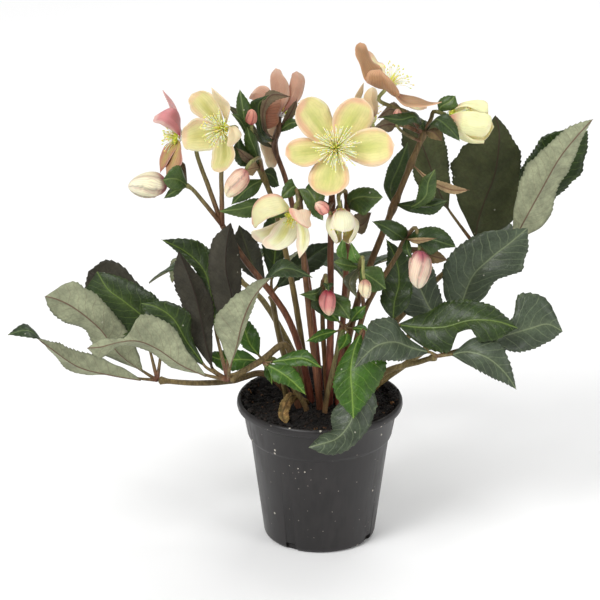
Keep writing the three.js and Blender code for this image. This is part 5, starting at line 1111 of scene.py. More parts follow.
stems = {
    "stem_front": [
        stalk([(6, -8, rootDepth), (7, -9, 112), (8, -10, 170), (8, -14, 250), (9, -22, 300)], (3.2, 2),
            "bloom_front"),
        stalk([(9, -20, 285), (7, -31, 285), (6, -39, 285)], (1.4, 1.1), "bud_pink"),
        bract("green", 0, 0.75, (-6, -30, 277), ((4, -28, 280), (1, -26, 285), (-2, -22, 288))),
        bract("dusky", 0, 0.68, (16, -28, 291), ((17, -24, 274), (13, -26, 278), (11, -24, 281))),
    ],
    "stem_left": [
        stalk([(-6, 2, rootDepth), (-7, 2, 112), (-24, 0, 180), (-60, -4, 235), (-75, -6, 261)],
            (2.9, 2.2)),
        stalk([(-75, -6, 261), (-84, -6, 289), (-94, 2, 316)], (2, 1.5), "bloom_left_pink"),
        stalk([(-75, -6, 261), (-75, -10, 284), (-74, -16, 317)], (2, 1.5), "bloom_left_cream"),
        stalk([(-75, -6, 261), (-88, -12, 281), (-100, -15, 296)], (1.8, 1.5), "bud_left"),
        bract("dusky", 3, 0.74, (-111, -4, 309), ((-104, -6, 312), (-104, -8, 307), (-105, -6, 299))),
        bract("green", 3, 0.73, (-119, -29, 306), ((-107, -24, 296), (-108, -24, 305), (-107, -24, 316)),
            ((-114, -28, 299), (-114, -28, 307), (-113, -27, 314))),
        bract("green", 3, 0.76, (-119, -20, 288), ((-110, -20, 290), (-112, -20, 293), (-113, -18, 296))),
    ],
    "stem_buds": [
        stalk([(-8, 12, rootDepth), (-9, 13, 112), (-20, 8, 198), (-36, -6, 280), (-47, -14, 313)],
            (2.7, 1.9)),
        stalk([(-44, -13, 308), (-46, -30, 324), (-50, -46, 328)], (1.6, 1.3), "bud_hanging"),
        stalk([(-46, -13, 310), (-49, -15, 318)], (1.6, 1.3), "bud_upper_left"),
        bract("green", 0, 0.99, (-61, 2, 368), ((-61, -6, 345), (-57, -8, 345), (-52, -6, 344)),
            ((-64, 0, 357), (-59, -4, 357), (-53, -1, 356))),
        bract("green", 0, 0.99, (-67, -14, 354), ((-60, -15, 344), (-60, -14, 348), (-60, -11, 351))),
        bract("green", 0, 0.99, (-55, -18, 345), ((-55, -22, 326), (-49, -24, 328), (-45, -16, 323)),
            ((-58, -20, 336), (-53, -24, 338), (-48, -16, 335))),
        bract("dark", 0, 0.99, (-61, -22, 340), ((-62, -26, 318), (-57, -26, 323), (-53, -20, 327)),
            ((-66, -24, 327), (-62, -26, 331), (-58, -20, 332))),
        bract("dusky", 0, 0.99, (-63, -34, 334), ((-52, -32, 327), (-55, -32, 325), (-58, -28, 321))),
        bract("tan", 0, 0.99, (-58, -32, 315), ((-52, -32, 323), (-52, -30, 316), (-52, -24, 308))),
        bract("dark", 0, 0.97, (-31, -6, 293), ((-36, -4, 307), (-37, -8, 302), (-37, -8, 293))),
        bract("green", 0, 0.94, (-68, -12, 280), ((-50, -16, 289), (-54, -14, 295), (-61, -10, 298))),
    ],
    "stem_back": [
        stalk([(0, 20, rootDepth), (0, 21, 112), (-10, 24, 208), (-26, 28, 284), (-35, 24, 315)],
            (2.7, 1.8), "bloom_back_pink"),
        bract("dark", 0, 0.89, (-37, -4, 366), ((-45, 2, 327), (-44, 2, 331), (-41, 1, 335)),
            ((-50, -1, 344), (-47, -1, 348), (-43, -1, 349)),
            ((-53, -1, 358), (-46, -3, 359), (-41, -3, 359))),
        bract("dusky", 0, 0.91, (-23, -4, 364), ((-40, -2, 336), (-42, -2, 337), (-44, -2, 338)),
            ((-41, -6, 353), (-43, -5, 354), (-45, -4, 356)),
            ((-35, -6, 361), (-37, -4, 365), (-39, -1, 368))),
        bract("green", 0, 0.94, (-14, 6, 340), ((-23, 10, 342), (-22, 8, 339), (-22, 8, 334))),
        bract("dusky", 0, 0.94, (-18, 12, 357), ((-18, 14, 346), (-22, 14, 346), (-25, 14, 347))),
        bract("dusky", 0, 0.86, (-72, 22, 349), ((-45, 19, 318), (-45, 20, 322), (-46, 22, 325)),
            ((-59, 21, 332), (-58, 22, 337), (-58, 23, 342))),
    ],
    "stem_nodding": [
        stalk([(0, -14, rootDepth), (0, -15, 112), (-8, -20, 190), (-14, -28, 258), (-16, -34, 298)],
            (2.8, 1.9)),
        stalk([(-16, -34, 295), (-18, -36, 301)], (1.8, 1.5), "bloom_nodding"),
        bract("green", 1, 0.81, (-30, -38, 294), ((-16, -36, 298), (-19, -34, 303), (-22, -30, 308)),
            ((-22, -38, 296), (-25, -37, 300), (-28, -35, 303))),
        bract("green", 0, 0.94, (2, -44, 279), ((-5, -30, 307), (-11, -34, 301), (-17, -38, 302)),
            ((3, -38, 299), (-4, -44, 295), (-10, -46, 290)),
            ((2, -36, 290), (-1, -40, 285), (-5, -40, 281))),
        bract("green", 0, 0.9, (-77, -26, 280), ((-47, -26, 275), (-47, -22, 283), (-47, -16, 287)),
            ((-61, -27, 276), (-62, -24, 281), (-62, -20, 284))),
    ],
    "stem_globe": [
        stalk([(13, -6, rootDepth), (14, -6, 112), (18, -8, 190), (21, -16, 258), (20, -22, 290)],
            (2.8, 1.9)),
        stalk([(20, -21, 287), (18, -26, 297)], (1.8, 1.5), "bloom_globe"),
        bract("green", 0, 0.95, (47, -36, 295), ((21, -27, 295), (24, -30, 291), (27, -32, 282)),
            ((31, -28, 300), (32, -32, 294), (33, -35, 280)),
            ((40, -31, 300), (40, -34, 294), (40, -36, 288))),
        bract("dusky", 0, 0.87, (39, -20, 277), ((32, -22, 260), (32, -20, 267), (27, -18, 275))),
        bract("fresh", 0, 0.7, (18, -30, 261), ((12, -26, 247), (16, -28, 249), (20, -26, 247))),
    ],
    "stem_tall": [
        stalk([(13, 12, rootDepth), (14, 12, 112), (30, 8, 195), (56, 4, 272), (80, 4, 336)], (3.3, 2.2)),
        stalk([(78, 4, 332), (66, -2, 350)], (1.8, 1.5), "bloom_top"),
        stalk([(78, 4, 332), (60, 12, 336)], (1.7, 1.4), "bloom_behind_top"),
        stalk([(78, 4, 331), (84, 8, 342)], (1.8, 1.5), "bloom_right_yellow"),
        stalk([(76, 3, 326), (64, -9, 336)], (1.3, 1.1), "bud_top"),
        bract("dark", 0, 0.99, (45, -22, 354), ((70, -20, 349), (70, -18, 353), (71, -10, 354)),
            ((60, -24, 348), (60, -22, 352), (60, -16, 355))),
        bract("dark", 0, 0.99, (105, -20, 334), ((95, -10, 352), (88, -16, 350), (84, -18, 346)),
            ((102, -16, 346), (97, -20, 344), (91, -22, 342))),
        bract("green", 3, 0.81, (102, 5, 362), ((89, 7, 356), (91, 4, 353), (95, 3, 350)),
            ((95, 6, 361), (98, 3, 358), (103, 1, 354))),
        bract("dusky", 1, 0.45, (43, 10, 342), ((55, 12, 354), (53, 10, 349), (52, 9, 343))),
        bract("dusky", 2, 0.44, (39, 10, 333), ((51, 12, 342), (51, 10, 337), (53, 8, 332))),
        bract("olive", 0, 0.99, (92, -14, 332), ((83, -10, 333), (86, -12, 338), (91, -8, 340))),
        bract("dark", 0, 0.99, (72, -14, 339), ((74, -12, 341), (76, -12, 344), (79, -10, 347))),
        bract("green", 0, 0.74, (87, -12, 309), ((71, -9, 280), (70, -10, 278), (70, -11, 276)),
            ((74, -14, 291), (80, -14, 288), (86, -12, 285)),
            ((76, -13, 300), (82, -15, 300), (88, -12, 296))),
        bract("dark", 0, 0.74, (97, -8, 282), ((68, -4, 280), (68, -8, 278), (69, -12, 274)),
            ((82, -2, 282), (85, -8, 278), (87, -12, 273))),
        bract("dark", 0, 0.73, (67, 20, 319), ((49, 18, 285), (54, 18, 283), (61, 18, 281)),
            ((54, 20, 302), (61, 20, 301), (68, 20, 295))),
        bract("tan", 0, 0.88, (114, -4, 289), ((81, 1, 295), (82, 2, 296), (82, 3, 298)),
            ((101, -2, 285), (99, 0, 288), (98, 2, 292))),
    ],
    "stem_right": [
        stalk([(20, 2, rootDepth), (21, 1, 112), (34, -8, 190), (58, -18, 240), (68, -22, 262)],
            (2.7, 1.8)),
        stalk([(66, -21, 258), (72, -30, 268)], (1.7, 1.4), "bud_right"),
        stalk([(34, -8, 190), (30, -30, 238), (32, -46, 250)], (1.7, 1.3), "bud_middle"),
        bract("dark", 0, 0.95, (39, -34, 275), ((54, -36, 261), (57, -34, 265), (66, -28, 266)),
            ((46, -38, 269), (49, -36, 271), (55, -30, 274))),
        bract("dark", 0, 0.96, (103, -34, 254), ((74, -30, 267), (74, -36, 262), (76, -38, 256)),
            ((86, -30, 269), (84, -36, 261), (83, -40, 250)),
            ((97, -30, 263), (94, -34, 257), (91, -38, 254))),
        bract("tan", 0, 0.96, (88, -44, 265), ((74, -42, 260), (74, -44, 263), (74, -40, 264))),
        bract("olive", 0, 0.92, (97, -28, 241), ((85, -30, 239), (86, -28, 244), (88, -24, 248))),
        bract("dark", 1, 0.0, (69, -40, 247), ((69, -36, 254), (66, -38, 253), (62, -36, 252))),
        bract("fresh", 2, 0.6, (23, -30, 257), ((22, -34, 243), (26, -34, 246), (31, -32, 244))),
        bract("green", 2, 0.55, (10, -44, 246), ((18, -44, 239), (17, -42, 243), (17, -40, 248))),
        bract("green", 2, 0.55, (50, -40, 222), ((35, -33, 238), (33, -36, 234), (31, -37, 228)),
            ((46, -34, 237), (41, -38, 229), (38, -40, 220))),
        bract("dusky", 2, 0.55, (28, -44, 216), ((27, -40, 227), (22, -40, 227), (17, -38, 229))),
    ],
    "stem_short": [
        stalk([(6, 6, rootDepth), (6, 5, 112), (2, -8, 180), (2, -22, 222)], (2.4, 1.6)),
        stalk([(2, -21, 220), (4, -28, 229)], (1.5, 1.3), "bud_low"),
        bract("green", 0, 0.96, (-16, -38, 217), ((-3, -38, 212), (-4, -36, 217), (-4, -32, 219))),
        bract("dark", 1, 0.81, (6, -42, 221), ((10, -38, 226), (6, -40, 225), (2, -38, 226))),
        bract("green", 0, 0.93, (23, -38, 196), ((22, -30, 209), (14, -34, 208), (6, -38, 203))),
        bract("dark", 0, 0.92, (8, -22, 189), ((6, -24, 199), (0, -22, 202), (-9, -22, 203))),
    ],
}


bractLooks = {  # upper side, its margin, underside, the veins above and below and how strong they are
    "green": ("364c1e", "586834", "5f6a3c", "788a4c", 0.22, "5f6040", 0.3),
    "dark": ("283a16", "3f4c28", "4c5232", "5c6e38", 0.2, "4a3c30", 0.3),
    "fresh": ("567c34", "7a9548", "8a9c5c", "8fa860", 0.25, "8c8a5c", 0.3),
    "olive": ("55502f", "6c5c3a", "7a6644", "777448", 0.2, "5b4434", 0.35),
    "dusky": ("434631", "6a5c42", "6c5c46", "6d6c4a", 0.2, "50382c", 0.4),
    "tan": ("9a8860", "b29c74", "a88e6a", "b0a070", 0.3, "7c5c44", 0.4),
}
receptacleDepth = 3  # of the green base behind the sepals
sepalFoot = {"out": 2.8, "back": 1.3}  # where a sepal springs, off the bloom's axis and behind its front
straightRun = {"bloom": 10, "bud": 6}  # how far a stalk runs straight before it meets its bloom or bud
clearance = 0.35  # between a stalk and its bloom or bud


def stalkPoints(part):
    if not part["to"]:
        return part["points"]
    isBloom = part["to"] in blooms
    target = blooms[part["to"]] if isBloom else buds[part["to"]]
    at, axis = Vector(target["at"]), direction(target["facing"])
    depth = receptacleDepth if isBloom else 0
    straight = at - axis * (depth + straightRun["bloom" if isBloom else "bud"])
    return [*part["points"], straight, at - axis * (depth + clearance)]


def bractPaint(look, seed):
    upper, margin, below, vein, strength, lowVein, lowStrength = bractLooks[look]
    upper, margin, below, vein, lowVein = (hexColour(c) for c in (upper, margin, below, vein, lowVein))
    offset = Vector((seed * 4.1, seed * 2.7, 3))

    def paint(v, u, under, point):
        cloud = noise.noise(point * 0.09 + offset)
        rim = ease(0.88, 1, abs(u))
        if under:
            tint = blend(below, upper, min(1, max(0, 0.2 + 0.5 * cloud)))
            return blend(tint, margin, 0.4 * rim), (*lowVein, lowStrength)
        tint = blend(upper, below, max(0, 0.35 * cloud) + 0.2 * (1 - ease(0, 0.3, v)))
        tint = blend(tint, margin, 0.5 * rim)
        return tuple(c * (1 + 0.15 * cloud) for c in tint), (*vein, strength)

    return paint


bractSwelling = {"height": 0.35, "most": 0.4, "reach": 0.02}  # shares of the stalk's radius and length
curveSteps = 200  # places along a stalk where a bract can spring


def stemPiece(node, parts, seed):
    bm = newPiece()
    stalks = [part for part in parts if "points" in part]
    bracts = [part for part in parts if "across" in part]
    for number, part in enumerate(stalks):
        first, last = part["radii"]
        nodes = [leafy["share"] for leafy in bracts if leafy["on"] == number]

        def radiusAt(share):  # a slight swelling where a bract springs
            near = ((share - at) / bractSwelling["reach"] for at in nodes)
            swell = sum(bractSwelling["height"] * math.exp(-gap ** 2) for gap in near)
            return (first + (last - first) * share) * (1 + min(bractSwelling["most"], swell))

        skin = stalkPaint("bloom" if number else "flower", seed + number)
        growStalk(bm, stalkPoints(part), radiusAt, skin)
    for number, leafy in enumerate(bracts):
        curve = route(stalkPoints(stalks[leafy["on"]]))
        start = evenly(curve, curveSteps)[round(curveSteps * leafy["share"])]
        blade = {"start": start, "phase": 1.7 * number + seed, **leafy}
        growBlade(bm, "bract", blade, bractPaint(leafy["look"], seed + number))
    return finishPiece(bm, pieceName(node), node, (looks["leafBlade"], looks["stalkSkin"]))


# The looks and shapes of blooms, bosses and buds

bloomLooks = {  # inside: heart, body, edge; outside: foot, back, rim; veins and how strong they are
    "bloom_front": ("b9c268", "dfd592", "e9b796", "c9b27c", "e0b898", "ecd0b0", "a3ad5c", 0.16),
    "bloom_top": ("dfd898", "ecdcb0", "e6b898", "74442f", "a8835c", "cfa27c", "7a4a34", 0.28),
    "bloom_behind_top": ("dfd898", "e6d8ac", "dcb898", "8a6048", "dcc498", "e6d4b0", "8a5a40", 0.35),
    "bloom_left_pink": ("b3a45c", "b98f68", "a85e58", "7c6a40", "9c7a50", "8c4a44", "6f3a30", 0.3),
    "bloom_left_cream": ("aaa94e", "d3cb8c", "e0c19c", "b5a878", "d6c49c", "e8d2b4", "98994e", 0.22),
    "bloom_nodding": ("d8d474", "f4efcc", "f0d8c0", "cfd092", "e9e2b2", "e9b49c", "b8a860", 0.15),
    "bloom_globe": ("c9bf50", "ebe29c", "f6ecd0", "c07c64", "f3ecc6", "f7e8d2", "c08a78", 0.15),
    "bloom_right_yellow": ("dfdc8a", "f0edba", "ece0a8", "dc9c8a", "edeab2", "f0e8b8", "b8a060", 0.15),
    "bloom_back_pink": ("cfb890", "d4a090", "c98078", "8e584c", "c49e86", "d2b09a", "8e5c4c", 0.25),
}
sepalLooks = {  # sepals that differ from the others of their bloom on the outside
    ("bloom_back_pink", 3): ("2a1012", "966548", "ae8468", "4a2020", 0.35),
    ("bloom_back_pink", 4): ("a08c70", "d8c9a6", "e6dcc0", "a8906c", 0.3),
    ("bloom_left_pink", 0): ("ad4a5c", "c98484", "dcb4aa", "a04c58", 0.25),
    ("bloom_left_pink", 1): ("d8c4b0", "d8a8a4", "dcb0aa", "b87078", 0.2),
    ("bloom_nodding", 0): ("c4c482", "d9d3a2", "dcae94", "b0a462", 0.2),
    ("bloom_nodding", 4): ("d8b090", "e8d0b4", "dca48c", "b87860", 0.2),
}


def aimed(facing, spin, at):  # turns +Z to a facing, after a spin about itself
    turn = up.rotation_difference(direction(facing)).to_matrix().to_4x4()
    return Matrix.Translation(at) @ turn @ Matrix.Rotation(spin, 4, "Z")


def sepalPaint(node, seed, number):
    *inside, foot, back, rim, vein, strength = bloomLooks[node]
    heart, body, edge, inVein = (hexColour(c) for c in (*inside, vein))
    *outside, outStrength = sepalLooks.get((node, number), (foot, back, rim, vein, strength))
    foot, back, rim, outVein = (hexColour(c) for c in outside)
    cream = hexColour("f6ecd4")
    offset = Vector((seed * 3.3, number * 1.3, seed))
    lean = 0.9 * noise.noise((number * 1.7, seed * 0.9, 0.5))  # one margin broader than the other

    def paint(v, u, under, point):
        cloud = noise.noise(point * 0.07 + offset)
        reach = max(abs(u) ** 1.4, ease(0.66, 1, v)) + 0.2 * cloud + lean * u * ease(0.1, 0.5, v)
        if under:
            tint = blend(foot, back, ease(0.05, 0.45, v + 0.2 * cloud))
            return blend(tint, rim, ease(0.6, 1, reach)), (*outVein, outStrength)
        streak = 1 - ease(0, 0.6, abs(u + 0.2 * lean) + 0.45 * noise.noise((u * 7, v * 1.2, seed + number)))
        tint = blend(body, heart, 0.75 * streak * (1 - ease(0.5, 1, v)))
        tint = blend(tint, heart, 0.6 * (1 - ease(0.08, 0.34, v)))
        tint = blend(tint, edge, 0.9 * ease(0.42, 0.92, reach))
        tint = blend(tint, cream, 0.5 * ease(0.95, 1, max(abs(u), v)))
        return tint, (*inVein, strength * (1 - 0.6 * ease(0.6, 1, v)))

    return paint


def bentSepals(bloom):  # blades about the axis, alike but for their own turn, size and width
    place = aimed(bloom["facing"], bloom["spin"], bloom["at"])
    first, last = math.radians(bloom["splay"]), math.radians(bloom["tipSplay"])
    middle = (first + last) / 2
    made = []
    for number, (turn, size, wide) in enumerate(bloom["sepals"]):
        out = spoke(2 * math.pi * number / 5 + turn)
        reach = bloom["length"] * size
        base = out * sepalFoot["out"] - up * sepalFoot["back"]
        mid = base + (out * math.sin(first) + up * math.cos(first)) * reach / 2
        tip = mid + (out * math.sin(last) + up * math.cos(last)) * reach / 2
        face = up * math.sin(middle) - out * math.cos(middle)
        made.append({
            "base": place @ base, "mid": place @ mid, "tip": place @ tip, "face": place.to_3x3() @ face,
            "width": bloom["width"] * wide, "roll": bloom["roll"],
        })
    return made


receptacle = {"segments": 20, "rings": 10, "radius": 4.2, "taper": 1.8, "crown": 0.2}


def bloomPiece(node, bloom, seed):
    bm = newPiece()
    place = aimed(bloom["facing"], bloom["spin"], bloom["at"])
    at, axis = Vector(bloom["at"]), direction(bloom["facing"])
    for number, blade in enumerate(bloom["blades"] or bentSepals(bloom)):
        if "across" in blade:
            away = Vector(blade["across"][0][1]) - at
            away = (away - axis * away.dot(axis)).normalized()
            blade = {"start": at + away * sepalFoot["out"] - axis * sepalFoot["back"], **blade}
        growBlade(bm, "sepal", {"phase": 2.1 * number + seed, **blade}, sepalPaint(node, seed, number))
    layers = layersOf(bm)
    disc = bmesh.ops.create_uvsphere(bm, u_segments=receptacle["segments"], v_segments=receptacle["rings"],
                                     radius=1)["verts"]
    for vert in disc:
        z = vert.co.z
        wide = receptacle["radius"] - (0 if z > 0 else receptacle["taper"] * z * z)
        height = min(0, z) * receptacleDepth + max(0, z) * receptacle["crown"]
        vert.co = place @ Vector((vert.co.x * wide, vert.co.y * wide, height))
        vert[layers["tint"]] = (*hexColour(bloomLooks[node][0]), 1)
    return finishPiece(bm, pieceName(node), node, (looks["sepalFlesh"],))


bossShape = {  # lengths in mm, spread in degrees off the axis, the sways in radians
    "stamens": 46, "lengths": (10, 14.5), "spread": (10, 66), "filament": 0.34, "anther": (0.6, 0.6, 1),
    "core": 3.8, "coreHeight": 2.4, "coreLift": 1.8, "footHeight": 2.2, "leanSway": 0.08, "turnSway": 0.2,
    "nectaries": 12, "nectaryRing": 4.4, "nectarySize": (0.95, 0.8, 1.7),
    "pistils": 4, "pistilRadius": 0.95,
    "pistilRoute": ((0.8, 2.5), (1.5, 7), (2.4, 11)),  # off the axis and up
}
bossColours = {"core": "e4e244", "anther": ("e2da3e", "f6efb8"), "nectary": "d4d858"}
goldenAngle = 2.39996  # in radians, from one stamen to the next
bossChanges = {
    "bloom_front": {
        "stamens": 110, "lengths": (11.5, 17.5), "spread": (8, 78), "filament": 0.42, "core": 5,
    },
    "bloom_left_cream": {"stamens": 60, "lengths": (10, 15), "spread": (20, 70)},
    "bloom_left_pink": {"stamens": 26, "lengths": (7, 11), "core": 4.4},
    "bloom_top": {"stamens": 30, "lengths": (11, 17), "filament": 0.28},
    "bloom_nodding": {"stamens": 9, "lengths": (4, 7), "spread": (5, 50), "core": 4.4, "nectaries": 18},
}


def growDrop(bm, place, size, colour, subdivisions=1):
    matrix = place @ Matrix.Diagonal((*size, 1))
    drop = bmesh.ops.create_icosphere(bm, subdivisions=subdivisions, radius=1, matrix=matrix)["verts"]
    tint = layersOf(bm)["tint"]
    for vert in drop:
        vert[tint] = (*colour, 1)


def growStamen(bm, place, shape, draw, number, widest):
    share = (number + 0.5) / shape["stamens"]
    inner, outer = shape["spread"]
    lean = min(math.radians(inner + (outer - inner) * share ** 0.7), widest)
    lean += draw.uniform(-shape["leanSway"], shape["leanSway"])
    out = spoke(number * goldenAngle + draw.uniform(-shape["turnSway"], shape["turnSway"]))
    reach = draw.uniform(*shape["lengths"])
    points = [out * shape["core"] * (0.3 + 0.55 * share) + up * shape["footHeight"]]
    for part in (lean * 0.7, lean * 1.15):  # the outer half leans more
        points.append(points[-1] + (out * math.sin(part) + up * math.cos(part)) * reach * 0.5)
    points = [place @ point for point in points]
    growStalk(bm, points, lambda s: shape["filament"] * (1 - 0.3 * s), stalkPaint("filament"), 4, 4)
    way = (points[2] - points[1]).normalized()
    top = aimed(way, draw.uniform(0, 3), points[2] + way * 0.5)
    young, ripe = (hexColour(c) for c in bossColours["anther"])
    growDrop(bm, top, shape["anther"], blend(young, ripe, draw.random() * 0.5 + 0.5 * share))


def bossPiece(node, bloom, seed):
    bm = newPiece()
    place = aimed(bloom["facing"], bloom["spin"], bloom["at"])
    draw = random.Random(seed)
    shape = {**bossShape, **bossChanges.get(node.replace("boss", "bloom"), {})}
    middle = place @ Matrix.Translation((0, 0, shape["coreLift"]))
    size = (shape["core"], shape["core"], shape["coreHeight"])
    growDrop(bm, middle, size, hexColour(bossColours["core"]), 2)
    widest = math.radians(bloom["splay"] * 0.86)  # inside the sepals
    for number in range(shape["stamens"]):
        growStamen(bm, place, shape, draw, number, widest)
    for number in range(shape["nectaries"]):
        out = spoke(2 * math.pi * number / shape["nectaries"])
        foot = place @ (out * shape["nectaryRing"] * 0.8 + up * 0.9)
        way = place.to_3x3() @ (out * 0.85 + up * 0.7)
        cup = aimed(way, 0, foot + way.normalized() * 1.3)
        growDrop(bm, cup, shape["nectarySize"], hexColour(bossColours["nectary"]))
    for number in range(shape["pistils"]):
        out = spoke(2 * math.pi * (number + 0.3) / shape["pistils"])
        points = [place @ (out * off + up * height) for off, height in shape["pistilRoute"]]
        growStalk(bm, points, lambda s: shape["pistilRadius"] - 0.6 * s, stalkPaint("pistil"), 6, 3)
    for face in bm.faces:
        face.material_index = 0
    return finishPiece(bm, pieceName(node), node, (looks["stamenDust"],))


budLooks = {  # base, body, tip
    "bud_left": ("944c54", "e8e2c0", "f0ecd0"),
    "bud_hanging": ("a8605c", "e6c8ac", "efe8c0"),
    "bud_upper_left": ("a85050", "cc8474", "d89a84"),
    "bud_pink": ("b0405a", "e2a090", "f0d0b8"),
    "bud_low": ("a83848", "d48a84", "e6ceae"),
    "bud_middle": ("b88474", "ebe0b8", "f2ecd2"),
    "bud_right": ("a85462", "e6cdb4", "f2ead0"),
    "bud_top": ("a86060", "cf8a7c", "e0b49c"),
}
budShape = {  # shares of the bud's radius, but for the counts and the twist, which is in radians
    "sepals": 5, "columns": 10, "rings": 26, "twist": 0.9, "proud": 0.17, "foot": 1.12, "taper": 0.32,
}


def budPiece(node, bud, seed):
    bm = newPiece()
    layers = layersOf(bm)
    place = aimed(bud["facing"], 0.7 * seed, bud["at"])
    base, body, tip = (hexColour(c) for c in budLooks[node])
    columns = budShape["columns"]  # of one sepal
    segments = budShape["sepals"] * columns
    ball = bmesh.ops.create_uvsphere(bm, u_segments=segments, v_segments=budShape["rings"], radius=1)
    for vert in ball["verts"]:
        t = (vert.co.z + 1) / 2
        angle = math.atan2(vert.co.y, vert.co.x)
        column = round(angle / (2 * math.pi) * segments) % columns
        lap = column / (columns - 1)  # 0 to 1 across one sepal, whose last edge stands proud
        edge = budShape["proud"] * lap ** 1.5 * ease(0.02, 0.2, t) * (1 - 0.5 * ease(0.85, 1, t))
        wrapped = 1 - ease(0, 0.12, t) * 0.09 + edge
        girth = math.hypot(vert.co.x, vert.co.y) * bud["radius"]
        girth = girth * (budShape["foot"] - budShape["taper"] * t) * wrapped
        turned = angle + budShape["twist"] * t
        centre = Vector((0.4 * math.sin(3 * t), 0.3 * math.sin(4 * t + 1), 0)) * (bud["radius"] / 10)
        local = Vector((math.cos(turned) * girth, math.sin(turned) * girth, t * bud["length"])) + centre
        vert.co = place @ local
        cloud = noise.noise(vert.co * 0.12 + Vector((seed, 0, 0)))
        tint = blend(base, body, ease(0.05, 0.5, t + 0.2 * cloud + 0.12 * lap))
        tint = blend(tint, tip, ease(0.6, 1, t))
        tint = blend(tint, base, 0.55 * ease(0.75, 1, lap) * (1 - 0.5 * t))
        # painted shadow: each sepal is darker where its lap is near 0, along the crease under the proud
        # edge of the next sepal
        tint = tuple(c * (0.5 + 0.5 * ease(0, 0.2, lap)) for c in tint)
        vert[layers["place"]] = (0, 0, 5 * (angle / (2 * math.pi)))
        vert[layers["tint"]] = (*tint, 1)
        vert[layers["vein"]] = (*base, 0.3)
    return finishPiece(bm, pieceName(node), node, (looks["sepalFlesh"],))


# Pot

pot = {
    "profile": [
        (0, 0), (39, 0), (41.6, 0.5), (43.3, 1.9), (44, 4), (54.3, 83.2), (54.9, 84.6), (56.2, 85.6),
        (56.8, 87.2), (60.3, 106.4), (61, 107.6), (63.2, 108.1), (64.5, 109), (65, 111), (64.8, 113.2),
        (64.2, 114.6), (63.2, 115), (62.2, 114.8), (61.6, 114), (60.6, 112), (58.8, 107.6), (55, 87),
        (54.4, 85.4), (52.6, 84), (42.4, 4), (0, 3),
    ],
    "steps": 144, "notches": 4, "notchSize": (9, 7, 9), "notchAt": (0, -44, 2), "notchRound": 1.5,
    "notchTurn": -0.54,  # radians
}


def applyModifiers(piece):
    bpy.context.view_layer.update()
    baked = bpy.data.meshes.new_from_object(piece.evaluated_get(bpy.context.evaluated_depsgraph_get()))
    piece.modifiers.clear()
    piece.data = baked


def notchCutter(number):
    bm = bmesh.new()
    block = bmesh.ops.create_cube(bm, size=1)["verts"]
    bmesh.ops.scale(bm, vec=pot["notchSize"], verts=block)
    outward = [e for e in bm.edges if abs((e.verts[0].co - e.verts[1].co).normalized().y) > 0.9]
    bmesh.ops.bevel(bm, geom=outward, offset=pot["notchRound"], affect="EDGES", segments=3, profile=0.5,
                    material=-1)
    bmesh.ops.translate(bm, vec=pot["notchAt"], verts=bm.verts)
    turn = Matrix.Rotation(2 * math.pi * number / pot["notches"] + pot["notchTurn"], 3, "Z")
    bmesh.ops.rotate(bm, cent=(0, 0, 0), matrix=turn, verts=bm.verts)
    bmesh.ops.scale(bm, vec=(millimetre,) * 3, verts=bm.verts)
    mesh = bpy.data.meshes.new("notchCutter")
    bm.to_mesh(mesh)
    bm.free()
    return addObject("notchCutter", mesh)


def potPiece():
    bm = newPiece()
    spinProfile(bm, pot["profile"], pot["steps"])
    piece = finishPiece(bm, "potShell", "pot", (looks["potPlastic"],))
    cutters = [notchCutter(number) for number in range(pot["notches"])]
    for cutter in cutters:
        cut = piece.modifiers.new("notch", "BOOLEAN")
        cut.operation = "DIFFERENCE"
        cut.solver = "EXACT"
        cut.object = cutter
    applyModifiers(piece)
    for cutter in cutters:
        bpy.data.objects.remove(cutter)
    return piece


# Peat

peat = {
    "profile": [(0, 3.5), (41.6, 4.5), (51.6, 83.8), (54.2, 87), (57.4, 106)],
    "rim": 57.4, "rimHeight": 107.5, "middleHeight": 111, "rough": 2.2, "fineRough": 1.1,
    "steps": 110, "rings": 22, "topFrom": 101.5, "colour": "120c08",
}
crumbs = {  # those that spill lie on the lip, mostly at the two sides
    "count": 2600, "seed": 5, "size": (0.6, 2.6), "least": 0.35, "wide": (0.6, 1.6), "deep": (0.6, 1.2),
    "high": (0.5, 1), "knobbly": (0.75, 1.15), "spillEvery": 9, "spillSides": (2.95, 0.12, 4.1),
    "spillSpread": 0.28, "spillRadius": (56, 63), "lipHeight": 112, "spillRise": (0, 3),
    "overRim": 1.02, "pale": 2.1,
}
crumbColours = (  # the first are drawn most often
    "120c08", "1a110b", "21160f", "0d0906", "2e1e13", "573a22", "8a6138",
)


def peatHeight(x, y):
    radius = math.hypot(x, y) / peat["rim"]
    mound = peat["rimHeight"] + (peat["middleHeight"] - peat["rimHeight"]) * (1 - ease(0.35, 1, radius))
    rough = noise.noise((x * 0.09, y * 0.09, 0)) * peat["rough"]
    rough += noise.noise((x * 0.35, y * 0.35, 4)) * peat["fineRough"]
    return mound + rough * (1 - 0.6 * ease(0.9, 1, radius))


def peatPiece():
    bm = newPiece()
    rings = peat["rings"]
    top = [(peat["rim"] * (1 - ring / rings), peat["rimHeight"]) for ring in range(1, rings + 1)]
    spinProfile(bm, peat["profile"] + top, peat["steps"])
    tint = layersOf(bm)["tint"]
    dark = hexColour(peat["colour"])
    for vert in bm.verts:
        if vert.co.z > peat["topFrom"]:
            vert.co.z = peatHeight(vert.co.x, vert.co.y)
        vert[tint] = (*dark, 1)
    scatterCrumbs(bm)
    return finishPiece(bm, "peatMound", "soil", (looks["peat"],))


